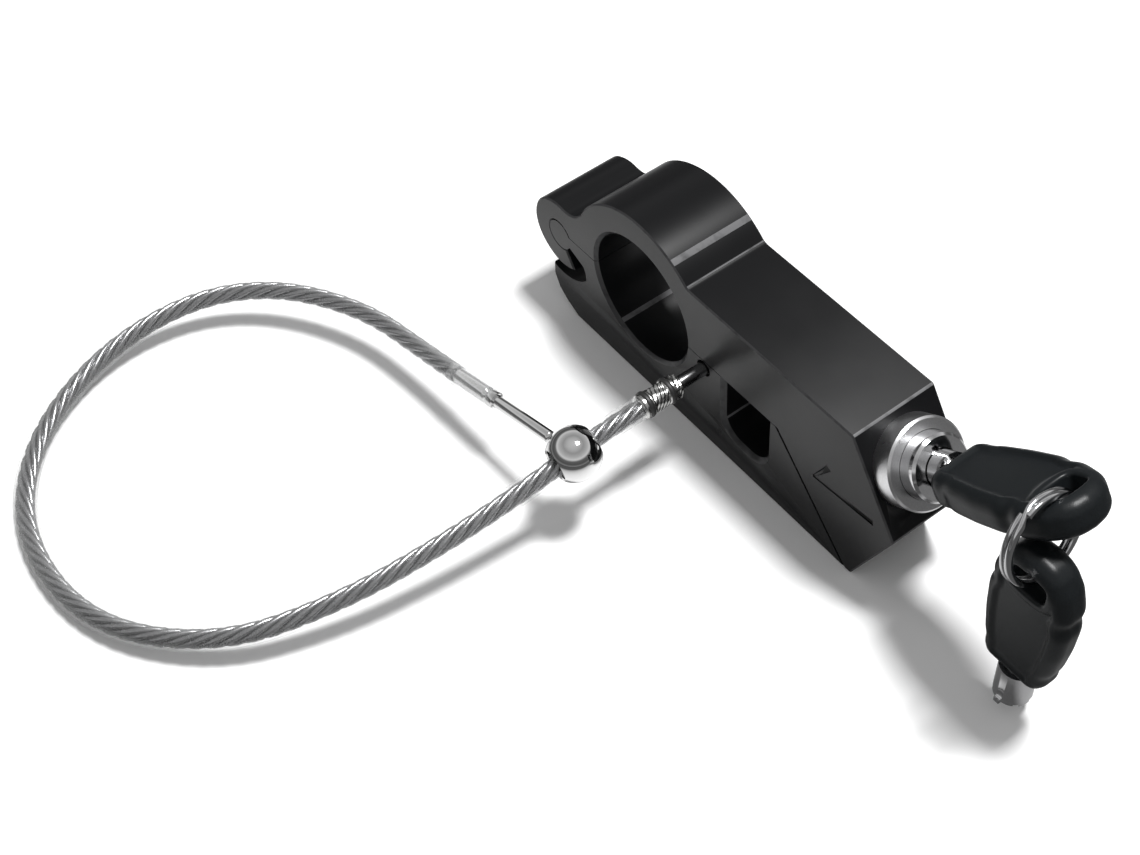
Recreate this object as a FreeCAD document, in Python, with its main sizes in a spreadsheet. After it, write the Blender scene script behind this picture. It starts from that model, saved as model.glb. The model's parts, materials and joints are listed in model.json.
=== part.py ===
"""Handlebar grip and brake lever clamp lock with a wire rope noose and two tubular keys.

Millimetres. The origin is the centre of the grip bore, half way across the clamp. +X runs along the
clamp from the hinge to the key end, +Y is the bore's axis and +Z is up, away from the flat base.
The turned lock pieces are drawn about their own Z axis and placed on the slanted key face.
"""
import FreeCAD, Part
import math
import os
import re
import Sketcher

Vector = FreeCAD.Vector

SIZES = {
    # clamp, seen along the grip bore
    "body_width": 24.4,
    "grip_bore_radius": 18.0,
    "shell_radius": 26.4,
    "top_height": 18.9,
    "base_depth": 29.75,
    "key_top_x": 75.5,
    "key_face_length": 28.3,
    "lock_angle": 33.0,
    "foot_x": 79.1,
    "seam_depth": 1.0,
    "seam_gap": 0.2,
    "seam_corner_x": 51.2,
    "seam_foot_x": 77.1,
    "edge_break": 0.4,
    "bore_break": 0.9,
    "shell_valley_fillet": 2.5,
    # hook hinge at the other end
    "pivot_x": -33.5,
    "pivot_depth": 3.0,
    "knuckle_radius": 10.7,
    "knuckle_valley_fillet": 8.0,
    "bulb_radius": 4.3,
    "hinge_clearance": 0.08,
    "hook_tip_angle": 60.0,
    "pocket_radius": 13.8,
    "pocket_wall_angle": 24.0,
    "neck_bottom_depth": 4.7,
    # lever slot in the jaw
    "slot_left_x": 32.2,
    "slot_width": 15.8,
    "slot_depth": 20.5,
    "slot_corner": 6.0,
    "slot_break": 1.2,
    # lock housing and the sliding barrel inside it
    "lock_drop": 13.2,
    "flange_radius": 11.0,
    "flange_height": 5.6,
    "flange_chamfer": 0.5,
    "housing_radius": 9.2,
    "housing_depth": 25.0,
    "housing_floor": 1.5,
    "housing_clearance": 0.06,
    "barrel_radius": 8.0,
    "barrel_clearance": 0.08,
    "barrel_front": 10.3,
    "barrel_back": 13.5,
    "barrel_chamfer": 0.6,
    "push_travel": 6.0,
    # pin tumbler works
    "works_radius": 5.5,
    "works_clearance": 0.08,
    "keyway_radius": 4.75,
    "keyway_front_wall": 5.0,
    "post_radius": 2.75,
    "post_setback": 0.4,
    "shear_depth": 0.8,
    "rotor_head_height": 4.0,
    "stator_back": 9.5,
    "shaft_radius": 2.0,
    "shaft_back": 11.2,
    "shaft_groove_radius": 1.5,
    "clip_thickness": 0.6,
    "clip_radius": 3.2,
    "crank_radius": 0.9,
    "crank_offset": 0.64,
    "crank_length": 1.5,
    "pin_count": 7,
    "pin_circle_radius": 4.1,
    "pin_radius": 0.6,
    "pin_clearance": 0.05,
    "key_pin_length": 4.15,
    "driver_pin_length": 2.6,
    "pin_chamber_depth": 7.4,
    "pin_spring_wire": 0.16,
    "pin_spring_turns": 5.0,
    "stator_pin_radius": 0.7,
    "stator_pin_height": 1.4,
    "stator_pin_setback": 0.2,
    # side latch, bolt and its spring
    "latch_width": 5.0,
    "latch_thickness": 1.2,
    "latch_tip_width": 2.4,
    "latch_shoulder_y": 3.8,
    "latch_back_y": 3.0,
    "latch_clearance": 0.15,
    "latch_height": 12.1,
    "window_start": 4.5,
    "bolt_disc_radius": 7.7,
    "bolt_disc_thickness": 1.3,
    "bolt_radius": 3.5,
    "bolt_tip_setback": 1.2,
    "bolt_clearance": 0.3,
    "bush_wall": 0.9,
    "bush_setback": 0.9,
    "bush_length": 6.6,
    "spring_wire": 0.8,
    "spring_radius": 5.7,
    "spring_turns": 3.0,
    "grub_depth": 5.0,
    "grub_radius": 1.5,
    "grub_socket_radius": 0.85,
    "grub_socket_depth": 1.2,
    "grub_setback": 0.3,
    "grub_bite": 0.6,
    # keys, drawn with the head's lower end at the origin and the head upwards
    "key_standoff": 14.5,
    "key_tube_outer": 4.5,
    "key_tube_inner": 3.05,
    "key_tube_length": 11.0,
    "key_tube_root": 8.0,
    "key_root_radius": 3.0,
    "key_tab_width": 1.5,
    "key_tab_height": 0.9,
    "key_tab_length": 1.5,
    "key_tab_setback": 0.15,
    "head_length": 42.0,
    "head_half_width": 10.8,
    "head_neck_half_width": 8.4,
    "head_thickness": 9.0,
    "head_break": 1.6,
    "head_corner": 2.4,
    "panel_depth": 0.7,
    "panel_border": 3.0,
    "ring_hole_height": 34.5,
    "ring_hole_length": 9.0,
    "ring_hole_width": 6.4,
    # split ring
    "ring_outer_radius": 11.0,
    "ring_wire_width": 1.8,
    "ring_wire_height": 2.6,
    "ring_lean": 13.0,
    "ring_gap": 0.2,
    # wire rope noose
    "stud_x": 24.7,
    "stud_depth": 3.8,
    "stud_radius": 1.8,
    "stud_inside": 9.0,
    "stud_counterbore": 2.4,
    "stud_counterbore_depth": 1.2,
    "crimp_radius": 3.3,
    "crimp_length": 12.0,
    "crimp_groove": 0.5,
    "crimp_ring_width": 1.0,
    "rope_radius": 2.4,
    "sleeve_radius": 3.0,
    "end_crimp_radius": 2.15,
    "end_crimp_length": 15.4,
    "cuff_length": 14.0,
    "cuff_gap": 0.1,
    "shank_radius": 1.65,
    "ball_radius": 7.0,
    "ball_bore_radius": 4.0,
    "shank_socket": 2.4,
}

# The rope's route, corner points from the crimp at the clamp to the crimp at the ball's shank.
ROUTE = [
    (24.7, -32.0, -3.8), (24.7, -42.5, -3.8), (23.4, -60.0, -8.6), (21.3, -84.5, -13.4),
    (16.8, -113.5, -18.0), (6.0, -142.0, -22.3), (-20.5, -163.0, -25.4), (-55.0, -164.3, -26.75),
    (-80.5, -149.5, -26.75), (-94.3, -123.0, -24.4), (-93.5, -95.0, -20.6), (-80.5, -74.2, -18.2),
    (-57.0, -60.2, -17.4), (-32.7, -56.5, -16.3), (-19.5, -55.3, -14.0),
]
BALL_RUN = 1            # the run of the route whose middle carries the ball
RUN_SHARE = 0.45        # share of the shorter run that an arc may take

doc = FreeCAD.newDocument("GripLock")
nodes = []


# ---------------------------------------------------------------- sheet, expressions and sketches

def make_sheet():
    """Put every driving size in one spreadsheet, value beside its name."""
    table = doc.addObject("Spreadsheet::Sheet", "Sizes")
    for row, (alias, value) in enumerate(SIZES.items(), start=1):
        table.set("A%d" % row, alias)
        table.set("B%d" % row, repr(value))
        table.setAlias("B%d" % row, alias)
    doc.recompute()
    return table


sheet = make_sheet()


def bound(text):
    """Write a formula in the sheet's names as an expression that FreeCAD follows."""
    return re.sub(r"\b([a-z]+(?:_[a-z]+)+)\b", r"Sizes.\1", str(text))


def number(text):
    """The present value of a formula in the sheet's names."""
    value = sheet.evalExpression(bound(text))
    return float(getattr(value, "Value", value))


def bind(thing, **formulas):
    """Bind properties of an object to formulas; a double underscore stands for a dot."""
    for name, text in formulas.items():
        thing.setExpression(name.replace("__", "."), bound(text))


def new_body(label):
    """A PartDesign body that becomes the node of the same name."""
    body = doc.addObject("PartDesign::Body", label)
    body.Label = label
    nodes.append(body)
    return body


def new_sketch(body, plane, lift=None):
    """A sketch on one of the body's own origin planes, lifted off it by a formula."""
    sketch = body.newObject("Sketcher::SketchObject", body.Name + "_sketch")
    origin = next(f for f in body.Origin.OriginFeatures if f.Role == plane)
    sketch.AttachmentSupport = [(origin, "")]
    sketch.MapMode = "FlatFace"
    if lift is not None:
        bind(sketch, AttachmentOffset__Base__z=lift)
    return sketch


def pin_point(sketch, line, end, across, up):
    """Hold one end of a line at a place given by two formulas."""
    for kind, text in (("DistanceX", across), ("DistanceY", up)):
        place = number(text)
        index = sketch.addConstraint(Sketcher.Constraint(kind, -1, 1, line, end, place))
        sketch.setExpression("Constraints[%d]" % index, bound(text))


def draw_outline(sketch, corners):
    """A closed straight-sided outline whose corners follow their formulas."""
    places = [Vector(number(across), number(up), 0) for across, up in corners]
    count = len(places)
    for i in range(count):
        sketch.addGeometry(Part.LineSegment(places[i], places[(i + 1) % count]), False)
    for i in range(count):
        sketch.addConstraint(Sketcher.Constraint("Coincident", i, 2, (i + 1) % count, 1))
    for i, (across, up) in enumerate(corners):
        pin_point(sketch, i, 1, across, up)
    return sketch


def draw_circle(sketch, across, up, radius):
    """A circle with its centre and radius given by formulas."""
    centre = Vector(number(across), number(up), 0)
    circle = sketch.addGeometry(Part.Circle(centre, Vector(0, 0, 1), number(radius)), False)
    index = sketch.addConstraint(Sketcher.Constraint("Radius", circle, number(radius)))
    sketch.setExpression("Constraints[%d]" % index, bound(radius))
    pin_point(sketch, circle, 3, across, up)
    return sketch


# ------------------------------------------------------------------------------ solid features

def extrude(body, kind, sketch, length, symmetric=True, backwards=False):
    """Pad or pocket a sketch and check that the body's volume moved the right way."""
    before = body.Shape.Volume if not body.Shape.isNull() else 0.0
    feature = body.newObject("PartDesign::" + kind, body.Name + "_" + kind.lower())
    feature.Profile = sketch
    feature.SideType = "Symmetric" if symmetric else "One side"
    feature.Reversed = backwards
    bind(feature, Length=length)
    doc.recompute()
    change = body.Shape.Volume - before
    wanted = 1 if kind == "Pad" else -1
    if change * wanted <= 0:
        raise RuntimeError("%s on %s did nothing" % (kind, body.Label))
    return feature


def pad(body, sketch, length="body_width", **side):
    """Add the sketch's shape."""
    return extrude(body, "Pad", sketch, length, **side)


def pocket(body, sketch, length="2 * body_width", **side):
    """Take the sketch's shape away."""
    return extrude(body, "Pocket", sketch, length, **side)


def turn(label, profile):
    """A turned piece: the profile's corners are radius and height, turned about Z."""
    body = new_body(label)
    sketch = draw_outline(new_sketch(body, "XZ_Plane"), profile)
    feature = body.newObject("PartDesign::Revolution", label + "_turned")
    feature.Profile = sketch
    feature.ReferenceAxis = (sketch, ["V_Axis"])
    feature.Angle = 360.0
    doc.recompute()
    return body


def edges_along_y(body, x, z, reach=0.2):
    """Names of the straight edges that run along Y through the place x, z."""
    found = []
    for index, edge in enumerate(body.Shape.Edges, start=1):
        ends = [v.Point for v in edge.Vertexes]
        if len(ends) == 2 and all(math.hypot(p.x - x, p.z - z) < reach for p in ends):
            found.append("Edge%d" % index)
    return found


def rim_edges(body, keep):
    """Names of the edges lying in the two flat side faces whose points all pass a test."""
    found = []
    half = number("body_width / 2")
    for index, edge in enumerate(body.Shape.Edges, start=1):
        points = edge.discretize(5)
        if all(abs(abs(p.y) - half) < 1e-4 and keep(p) for p in points):
            found.append("Edge%d" % index)
    return found


def dress(body, kind, names, amount):
    """Fillet or chamfer the named edges of the body's newest shape."""
    if not names:
        raise RuntimeError("no edge to dress on " + body.Label)
    feature = body.newObject("PartDesign::" + kind, body.Name + "_" + kind.lower())
    feature.Base = (body.Tip if body.Tip is not feature else feature.BaseFeature, names)
    bind(feature, **{"Radius" if kind == "Fillet" else "Size": amount})
    doc.recompute()
    if body.Shape.isNull() or not body.Shape.isValid():
        raise RuntimeError("%s failed on %s" % (kind, body.Label))
    return feature


# --------------------------------------------------------------------------------- placements

LOCK_X = "(key_top_x + lock_drop * sin(lock_angle * 1 deg))"
LOCK_Z = "(top_height - lock_drop * cos(lock_angle * 1 deg))"


def place_on_lock_axis(thing, height="0"):
    """Stand a piece on the lock's axis, a given height out from the slanted key face."""
    thing.Placement.Rotation = FreeCAD.Rotation(Vector(0, 1, 0), 90 - number("lock_angle"))
    bind(thing,
         Placement__Rotation__Angle="90 deg - lock_angle * 1 deg",
         Placement__Base__x=LOCK_X + " + (" + height + ") * cos(lock_angle * 1 deg)",
         Placement__Base__z=LOCK_Z + " + (" + height + ") * sin(lock_angle * 1 deg)")
    return thing


def solid_node(label, shape, lock_axis=False, height="0"):
    """A node whose shape is built with Part's own functions, then placed."""
    feature = doc.addObject("Part::Feature", label)
    feature.Label = label
    feature.Shape = shape
    if lock_axis:
        place_on_lock_axis(feature, height)
    nodes.append(feature)
    return feature


# ------------------------------------------------------------------------------- the two jaws

GRUB_DEPTH = "grub_depth"
GRUB_X = LOCK_X + " - " + GRUB_DEPTH + " * cos(lock_angle * 1 deg)"
GRUB_Z = LOCK_Z + " - " + GRUB_DEPTH + " * sin(lock_angle * 1 deg)"
SEAM_ACROSS = "(seam_foot_x - seam_corner_x)"
SEAM_DOWN = "(base_depth - seam_depth)"
SEAM_REACH = ("(((" + LOCK_X + " - seam_corner_x) * " + SEAM_DOWN
              + " + (" + LOCK_Z + " + seam_depth) * " + SEAM_ACROSS
              + ") / (cos(lock_angle * 1 deg) * " + SEAM_DOWN
              + " + sin(lock_angle * 1 deg) * " + SEAM_ACROSS + "))")
NOSE_X = "key_top_x + key_face_length * sin(lock_angle * 1 deg)"
NOSE_Z = "top_height - key_face_length * cos(lock_angle * 1 deg)"
BLOCK_START_X = "shell_radius * 0.6"


def from_pivot(radius, angle_down):
    """A place round the hinge pivot, at an angle below the +X direction."""
    across = "pivot_x + (%s) * cos((%s) * 1 deg)" % (radius, angle_down)
    up = "-pivot_depth - (%s) * sin((%s) * 1 deg)" % (radius, angle_down)
    return across, up


def bore_lock_hole(body):
    """Bore the stepped hole for the housing and the bolt along the lock's axis."""
    steps = [("0", "housing_depth + housing_clearance", "housing_radius + housing_clearance"),
             ("0", SEAM_REACH + " + bolt_radius", "bolt_radius + bolt_clearance")]
    for start, depth, radius in steps:
        sketch = new_sketch(body, "YZ_Plane")
        raise_to_key_face(sketch)
        draw_circle(sketch, "0", "0", radius)
        pocket(body, sketch, depth, symmetric=False)


def raise_to_key_face(sketch):
    """Lay a YZ-plane sketch in the slanted key face, centred on the lock's axis."""
    tilt = FreeCAD.Rotation(Vector(-1, 0, 0), number("lock_angle"))
    sketch.AttachmentOffset = FreeCAD.Placement(Vector(0, number(LOCK_Z), number(LOCK_X)), tilt)
    bind(sketch,
         AttachmentOffset__Base__y=LOCK_Z,
         AttachmentOffset__Base__z=LOCK_X,
         AttachmentOffset__Rotation__Angle="lock_angle * 1 deg")


def make_upper_body():
    """The upper jaw: half shell over the grip, key block, and the hook of the hinge."""
    body = new_body("upper_body")
    block = [(BLOCK_START_X, "-seam_depth"), ("seam_corner_x", "-seam_depth"),
             ("seam_foot_x", "-base_depth"), ("foot_x", "-base_depth"), (NOSE_X, NOSE_Z),
             ("key_top_x", "top_height"), (BLOCK_START_X, "top_height")]
    pad(body, draw_outline(new_sketch(body, "XZ_Plane"), block))
    pad(body, draw_circle(new_sketch(body, "XZ_Plane"), "0", "0", "shell_radius"))
    below = [("-shell_radius - 1", "-seam_depth"), ("shell_radius + 1", "-seam_depth"),
             ("shell_radius + 1", "-shell_radius - 1"), ("-shell_radius - 1", "-shell_radius - 1")]
    pocket(body, draw_outline(new_sketch(body, "XZ_Plane"), below))
    pad(body, draw_circle(new_sketch(body, "XZ_Plane"), "pivot_x", "-pivot_depth", "knuckle_radius"))
    pocket(body, draw_circle(new_sketch(body, "XZ_Plane"), "0", "0", "grip_bore_radius"))
    groove = "bulb_radius + hinge_clearance"
    pocket(body, draw_circle(new_sketch(body, "XZ_Plane"), "pivot_x", "-pivot_depth", groove))
    mouth = [("pivot_x", "-pivot_depth"), from_pivot("knuckle_radius + 2", "hook_tip_angle"),
             ("pivot_x + knuckle_radius + 3", "-pivot_depth - knuckle_radius - 2"),
             ("pivot_x + knuckle_radius + 3", "-seam_depth"),
             ("pivot_x + bulb_radius * 0.5", "-seam_depth")]
    pocket(body, draw_outline(new_sketch(body, "XZ_Plane"), mouth))
    valley_x = math.sqrt(number("shell_radius") ** 2 - number("top_height") ** 2)
    dress(body, "Fillet", edges_along_y(body, valley_x, number("top_height")), "shell_valley_fillet")
    dress(body, "Fillet", edges_along_y(body, *circle_crossing()), "knuckle_valley_fillet")
    for corner in (("key_top_x", "top_height"), (NOSE_X, NOSE_Z)):
        dress(body, "Chamfer", edges_along_y(body, *[number(place) for place in corner]), "edge_break")
    dress(body, "Chamfer", rim_edges(body, in_grip_bore), "bore_break")
    dress(body, "Chamfer", rim_edges(body, not_in_grip_bore), "edge_break")
    bore_lock_hole(body)
    cut_grub_hole(body)
    return body


def circle_crossing():
    """Where the knuckle's circle and the shell's circle cross, above the seam."""
    shell, knuckle = number("shell_radius"), number("knuckle_radius")
    px, pz = number("pivot_x"), -number("pivot_depth")
    apart = math.hypot(px, pz)
    along = (apart ** 2 + shell ** 2 - knuckle ** 2) / (2 * apart)
    aside = math.sqrt(shell ** 2 - along ** 2)
    ux, uz = px / apart, pz / apart
    return along * ux + aside * uz, along * uz - aside * ux


def in_grip_bore(point):
    """True on the rim of the grip bore."""
    return abs(math.hypot(point.x, point.z) - number("grip_bore_radius")) < 0.01


def not_in_grip_bore(point):
    """True on every rim that is clear of the grip bore's own chamfer."""
    return math.hypot(point.x, point.z) > number("grip_bore_radius + bore_break") + 0.5


def cut_grub_hole(body):
    """Tapped hole from the rear side face for the grub screw that holds the lock housing."""
    sketch = new_sketch(body, "XZ_Plane", lift="-body_width / 2")
    draw_circle(sketch, GRUB_X, GRUB_Z, "grub_radius")
    pocket(body, sketch, "body_width / 2", symmetric=False, backwards=True)


def make_lower_jaw():
    """The lower jaw: flat base, lever slot, the hinge's bulb on a neck, bolt and stud holes."""
    body = new_body("lower_jaw")
    top = "-seam_depth - seam_gap"
    lean = "seam_gap / cos(lock_angle * 1 deg) * 1.6"
    outline = [("pivot_x + knuckle_radius - 4", top), ("seam_corner_x - " + lean, top),
               ("seam_foot_x - " + lean, "-base_depth"), ("pivot_x + 5.6", "-base_depth"),
               ("pivot_x + 0.8", "-base_depth + 2.6"), ("pivot_x - 2.4", "-base_depth + 5.4"),
               ("pivot_x - 4.2", "-base_depth + 9.6"), ("pivot_x - 3.9", "-pivot_depth - 12.4"),
               ("pivot_x - 2", "-pivot_depth - 5")]
    pad(body, draw_outline(new_sketch(body, "XZ_Plane"), outline))
    pocket(body, draw_circle(new_sketch(body, "XZ_Plane"), "pivot_x", "-pivot_depth", "pocket_radius"))
    reach = "pivot_x + pocket_radius + 2"
    neck = [("pivot_x", top), (reach, top), (reach, "-pivot_depth - pocket_radius * 0.75"),
            from_pivot("pocket_radius + 0.4", "pocket_wall_angle + 17"),
            from_pivot("pocket_radius - 1.5", "pocket_wall_angle + 7"),
            from_pivot("knuckle_radius", "pocket_wall_angle"),
            ("pivot_x + bulb_radius * 0.9", "-neck_bottom_depth"), ("pivot_x", "-neck_bottom_depth")]
    pad(body, draw_outline(new_sketch(body, "XZ_Plane"), neck))
    pad(body, draw_circle(new_sketch(body, "XZ_Plane"), "pivot_x", "-pivot_depth", "bulb_radius"))
    pocket(body, draw_circle(new_sketch(body, "XZ_Plane"), "0", "0", "grip_bore_radius"))
    slot = [("slot_left_x", "0"), ("slot_left_x", "-slot_depth"),
            ("slot_left_x + slot_width", "-slot_depth"), ("slot_left_x + slot_width", "0")]
    pocket(body, draw_outline(new_sketch(body, "XZ_Plane"), slot))
    for side in ("slot_left_x", "slot_left_x + slot_width"):
        corner = edges_along_y(body, number(side), -number("slot_depth"))
        dress(body, "Fillet", corner, "slot_corner")
    dress(body, "Chamfer", rim_edges(body, in_grip_bore), "bore_break")
    dress(body, "Chamfer", rim_edges(body, in_slot), "slot_break")
    dress(body, "Chamfer", rim_edges(body, on_jaw_outside), "edge_break")
    sketch = new_sketch(body, "YZ_Plane")
    raise_to_key_face(sketch)
    draw_circle(sketch, "0", "0", "bolt_radius + bolt_clearance + bush_wall")
    pocket(body, sketch, SEAM_REACH + " + bush_length", symmetric=False)
    for radius, depth in (("stud_radius", "stud_inside"), ("stud_counterbore", "stud_counterbore_depth")):
        sketch = new_sketch(body, "XZ_Plane", lift="body_width / 2")
        draw_circle(sketch, "stud_x", "-stud_depth", radius)
        pocket(body, sketch, depth, symmetric=False)
    return body


def in_slot(point):
    """True on the rim of the lever slot, below the seam."""
    left, width = number("slot_left_x"), number("slot_width")
    inside = left - 0.01 < point.x < left + width + 0.01
    return inside and -number("slot_depth") - 0.01 < point.z < -number("seam_depth")


def on_jaw_outside(point):
    """True on the jaw's outer rim: the base, the slanted face and the hinge end."""
    if math.hypot(point.x, point.z) < number("grip_bore_radius + bore_break") + 0.3:
        return False
    low = point.z < -number("slot_depth + slot_break") - 1
    return low or point.x < number("pivot_x") - 3.0


# ------------------------------------------------------------- housing, barrel and pin tumblers

def make_lock_housing():
    """Fixed sleeve with the bright flange; its floor carries the spring, its wall two latch windows."""
    flange = "flange_height"
    inner = "barrel_radius + barrel_clearance"
    profile = [(inner, flange), ("flange_radius - flange_chamfer", flange),
               ("flange_radius", flange + " - flange_chamfer"), ("flange_radius", "0"),
               ("housing_radius", "0"), ("housing_radius", "-housing_depth"),
               ("bolt_radius + bolt_clearance * 0.5", "-housing_depth"),
               ("bolt_radius + bolt_clearance * 0.5", "-housing_depth + housing_floor"),
               (inner, "-housing_depth + housing_floor")]
    body = turn("lock_housing", profile)
    for shift in ("0", "push_travel"):
        cut_latch_window(body, "latch_height + " + shift, "latch_clearance * 2")
    sketch = new_sketch(body, "XZ_Plane", lift="-housing_radius - 1")
    draw_circle(sketch, "0", "-" + GRUB_DEPTH, "grub_radius + 0.05")
    pocket(body, sketch, "1 + grub_bite", symmetric=False, backwards=True)
    return place_on_lock_axis(body)


def cut_latch_window(body, depth, room):
    """Rectangular window on the +Y side for the latch's tip, a given depth below the key face."""
    half = "latch_tip_width / 2 + " + room
    low = "-(" + depth + ") - latch_thickness / 2 - " + room
    high = "-(" + depth + ") + latch_thickness / 2 + " + room
    sketch = new_sketch(body, "XZ_Plane", lift="-window_start")
    draw_outline(sketch, [("-(" + half + ")", low), (half, low), (half, high), ("-(" + half + ")", high)])
    pocket(body, sketch, "housing_radius", symmetric=False)


def make_core_barrel():
    """The barrel that is pushed in to lock: round keyway with a notch in its face, hollow behind."""
    inner = "works_radius + works_clearance"
    front = "barrel_front"
    wall = front + " - keyway_front_wall"
    profile = [("keyway_radius", front), ("barrel_radius - barrel_chamfer", front),
               ("barrel_radius", front + " - barrel_chamfer"), ("barrel_radius", "-barrel_back"),
               (inner, "-barrel_back"), (inner, wall), ("keyway_radius", wall)]
    body = turn("core_barrel", profile)
    sketch = new_sketch(body, "XY_Plane", lift=front)
    half = "key_tab_width / 2 + 0.15"
    notch = [("-keyway_radius - key_tab_height - 0.2", "-(" + half + ")"), ("0", "-(" + half + ")"),
             ("0", half), ("-keyway_radius - key_tab_height - 0.2", half)]
    pocket(body, draw_outline(sketch, notch), "keyway_front_wall", symmetric=False)
    cut_latch_window(body, "latch_height", "latch_clearance")
    cut_stator_pin_hole(body)
    return place_on_lock_axis(body)


def cut_stator_pin_hole(body):
    """Cross hole below the shear line for the pin that keeps the stator from turning."""
    sketch = new_sketch(body, "YZ_Plane")
    draw_circle(sketch, "0", "-stator_back + stator_pin_height", "stator_pin_radius")
    pocket(body, sketch, "2 * barrel_radius", symmetric=False, backwards=True)


def pin_ring(shape):
    """Copies of a shape, one for each pin, spread round the pin circle."""
    count = int(number("pin_count"))
    step = 360.0 / count
    copies = []
    for i in range(count):
        copy = shape.copy()
        copy.rotate(Vector(), Vector(0, 0, 1), step * (i + 0.5))
        copies.append(copy)
    return Part.makeCompound(copies)


def pin_holes(body, plane_height, depth, backwards=False):
    """A ring of blind pin holes, cut once and patterned round the axis."""
    sketch = new_sketch(body, "XY_Plane", lift=plane_height)
    angle = "180 deg / pin_count"
    draw_circle(sketch, "pin_circle_radius * cos(" + angle + ")",
                "pin_circle_radius * sin(" + angle + ")", "pin_radius + pin_clearance")
    hole = pocket(body, sketch, depth, symmetric=False, backwards=backwards)
    ring = body.newObject("PartDesign::PolarPattern", body.Name + "_pin_ring")
    ring.Originals = [hole]
    ring.Axis = (sketch, ["N_Axis"])
    ring.Angle = 360.0
    bind(ring, Occurrences="pin_count")
    body.Tip = ring
    doc.recompute()


def make_stator():
    """The fixed pin chamber behind the shear line, with a blind hole for each driver pin."""
    profile = [("shaft_radius + works_clearance", "-shear_depth"), ("works_radius", "-shear_depth"),
               ("works_radius", "-stator_back"), ("shaft_radius + works_clearance", "-stator_back")]
    body = turn("stator", profile)
    pin_holes(body, "-shear_depth", "pin_chamber_depth")
    cut_stator_pin_hole(body)
    return place_on_lock_axis(body)


def make_rotor():
    """The turning part: post, head with through holes for the key pins, shaft and crank pin."""
    seam = "-shear_depth + works_clearance"
    head = seam + " + rotor_head_height"
    groove_top = "-stator_back - works_clearance"
    groove_low = groove_top + " - clip_thickness - 0.1"
    post = "barrel_front - post_setback"
    profile = [("0", post), ("post_radius", post), ("post_radius", head), ("works_radius", head),
               ("works_radius", seam), ("shaft_radius", seam), ("shaft_radius", groove_top),
               ("shaft_groove_radius", groove_top), ("shaft_groove_radius", groove_low),
               ("shaft_radius", groove_low), ("shaft_radius", "-shaft_back"), ("0", "-shaft_back")]
    body = turn("rotor", profile)
    pin_holes(body, seam, "rotor_head_height", backwards=True)
    sketch = new_sketch(body, "XY_Plane", lift="-shaft_back")
    draw_circle(sketch, "crank_offset * cos(225 deg)", "crank_offset * sin(225 deg)", "crank_radius")
    pad(body, sketch, "crank_length", symmetric=False, backwards=True)
    return place_on_lock_axis(body)


def make_shaft_clip():
    """Retaining clip in the rotor's groove: a flat ring with an open mouth."""
    top = "-stator_back - works_clearance - 0.05"
    profile = [("shaft_groove_radius", top), ("clip_radius", top),
               ("clip_radius", top + " - clip_thickness"),
               ("shaft_groove_radius", top + " - clip_thickness")]
    body = turn("shaft_clip", profile)
    sketch = new_sketch(body, "XY_Plane")
    half = "shaft_groove_radius * 0.8"
    mouth = [("0", "-(" + half + ")"), ("clip_radius + 1", "-(" + half + ")"),
             ("clip_radius + 1", half), ("0", half)]
    pocket(body, draw_outline(sketch, mouth), "3 * stator_back")
    return place_on_lock_axis(body)


def make_pins():
    """Key pins in the rotor, driver pins and springs in the stator, meeting at the shear line."""
    circle = Vector(number("pin_circle_radius"), 0, 0)
    seam = -number("shear_depth")
    radius = number("pin_radius")
    key_length = number("key_pin_length")
    key_pin = Part.makeCylinder(radius, key_length, circle + Vector(0, 0, seam + number("works_clearance")))
    solid_node("key_pins", pin_ring(key_pin), lock_axis=True)
    driver_length = number("driver_pin_length")
    driver = Part.makeCylinder(radius, driver_length, circle + Vector(0, 0, seam - driver_length))
    solid_node("driver_pins", pin_ring(driver), lock_axis=True)
    wire = number("pin_spring_wire")
    floor = seam - number("pin_chamber_depth")
    coil = coil_spring(radius - wire, wire, floor, seam - driver_length, number("pin_spring_turns"))
    coil.translate(circle)
    solid_node("pin_springs", pin_ring(coil), lock_axis=True)


def coil_spring(radius, wire, low, high, turns):
    """A coil of round wire about Z, its ends just inside the heights low and high."""
    end_gap = 1.1 * wire
    rise = high - low - 2 * end_gap
    helix = Part.makeHelix(rise / turns, rise, radius)
    helix.translate(Vector(0, 0, low + end_gap))
    start = helix.Edges[0].valueAt(helix.Edges[0].FirstParameter)
    along = helix.Edges[0].tangentAt(helix.Edges[0].FirstParameter)
    section = Part.Wire(Part.makeCircle(wire, start, along))
    return Part.Wire(helix.Edges).makePipeShell([section], True, True)


def make_stator_pin():
    """Cross pin through the barrel's wall into the stator, between two of the pin chambers."""
    outer = number("barrel_radius - stator_pin_setback")
    inner = number("shaft_radius + works_clearance + stator_pin_setback")
    height = number("-stator_back + stator_pin_height")
    pin = Part.makeCylinder(number("stator_pin_radius"), outer - inner, Vector(inner, 0, height), Vector(1, 0, 0))
    solid_node("stator_pin", pin, lock_axis=True)


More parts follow.
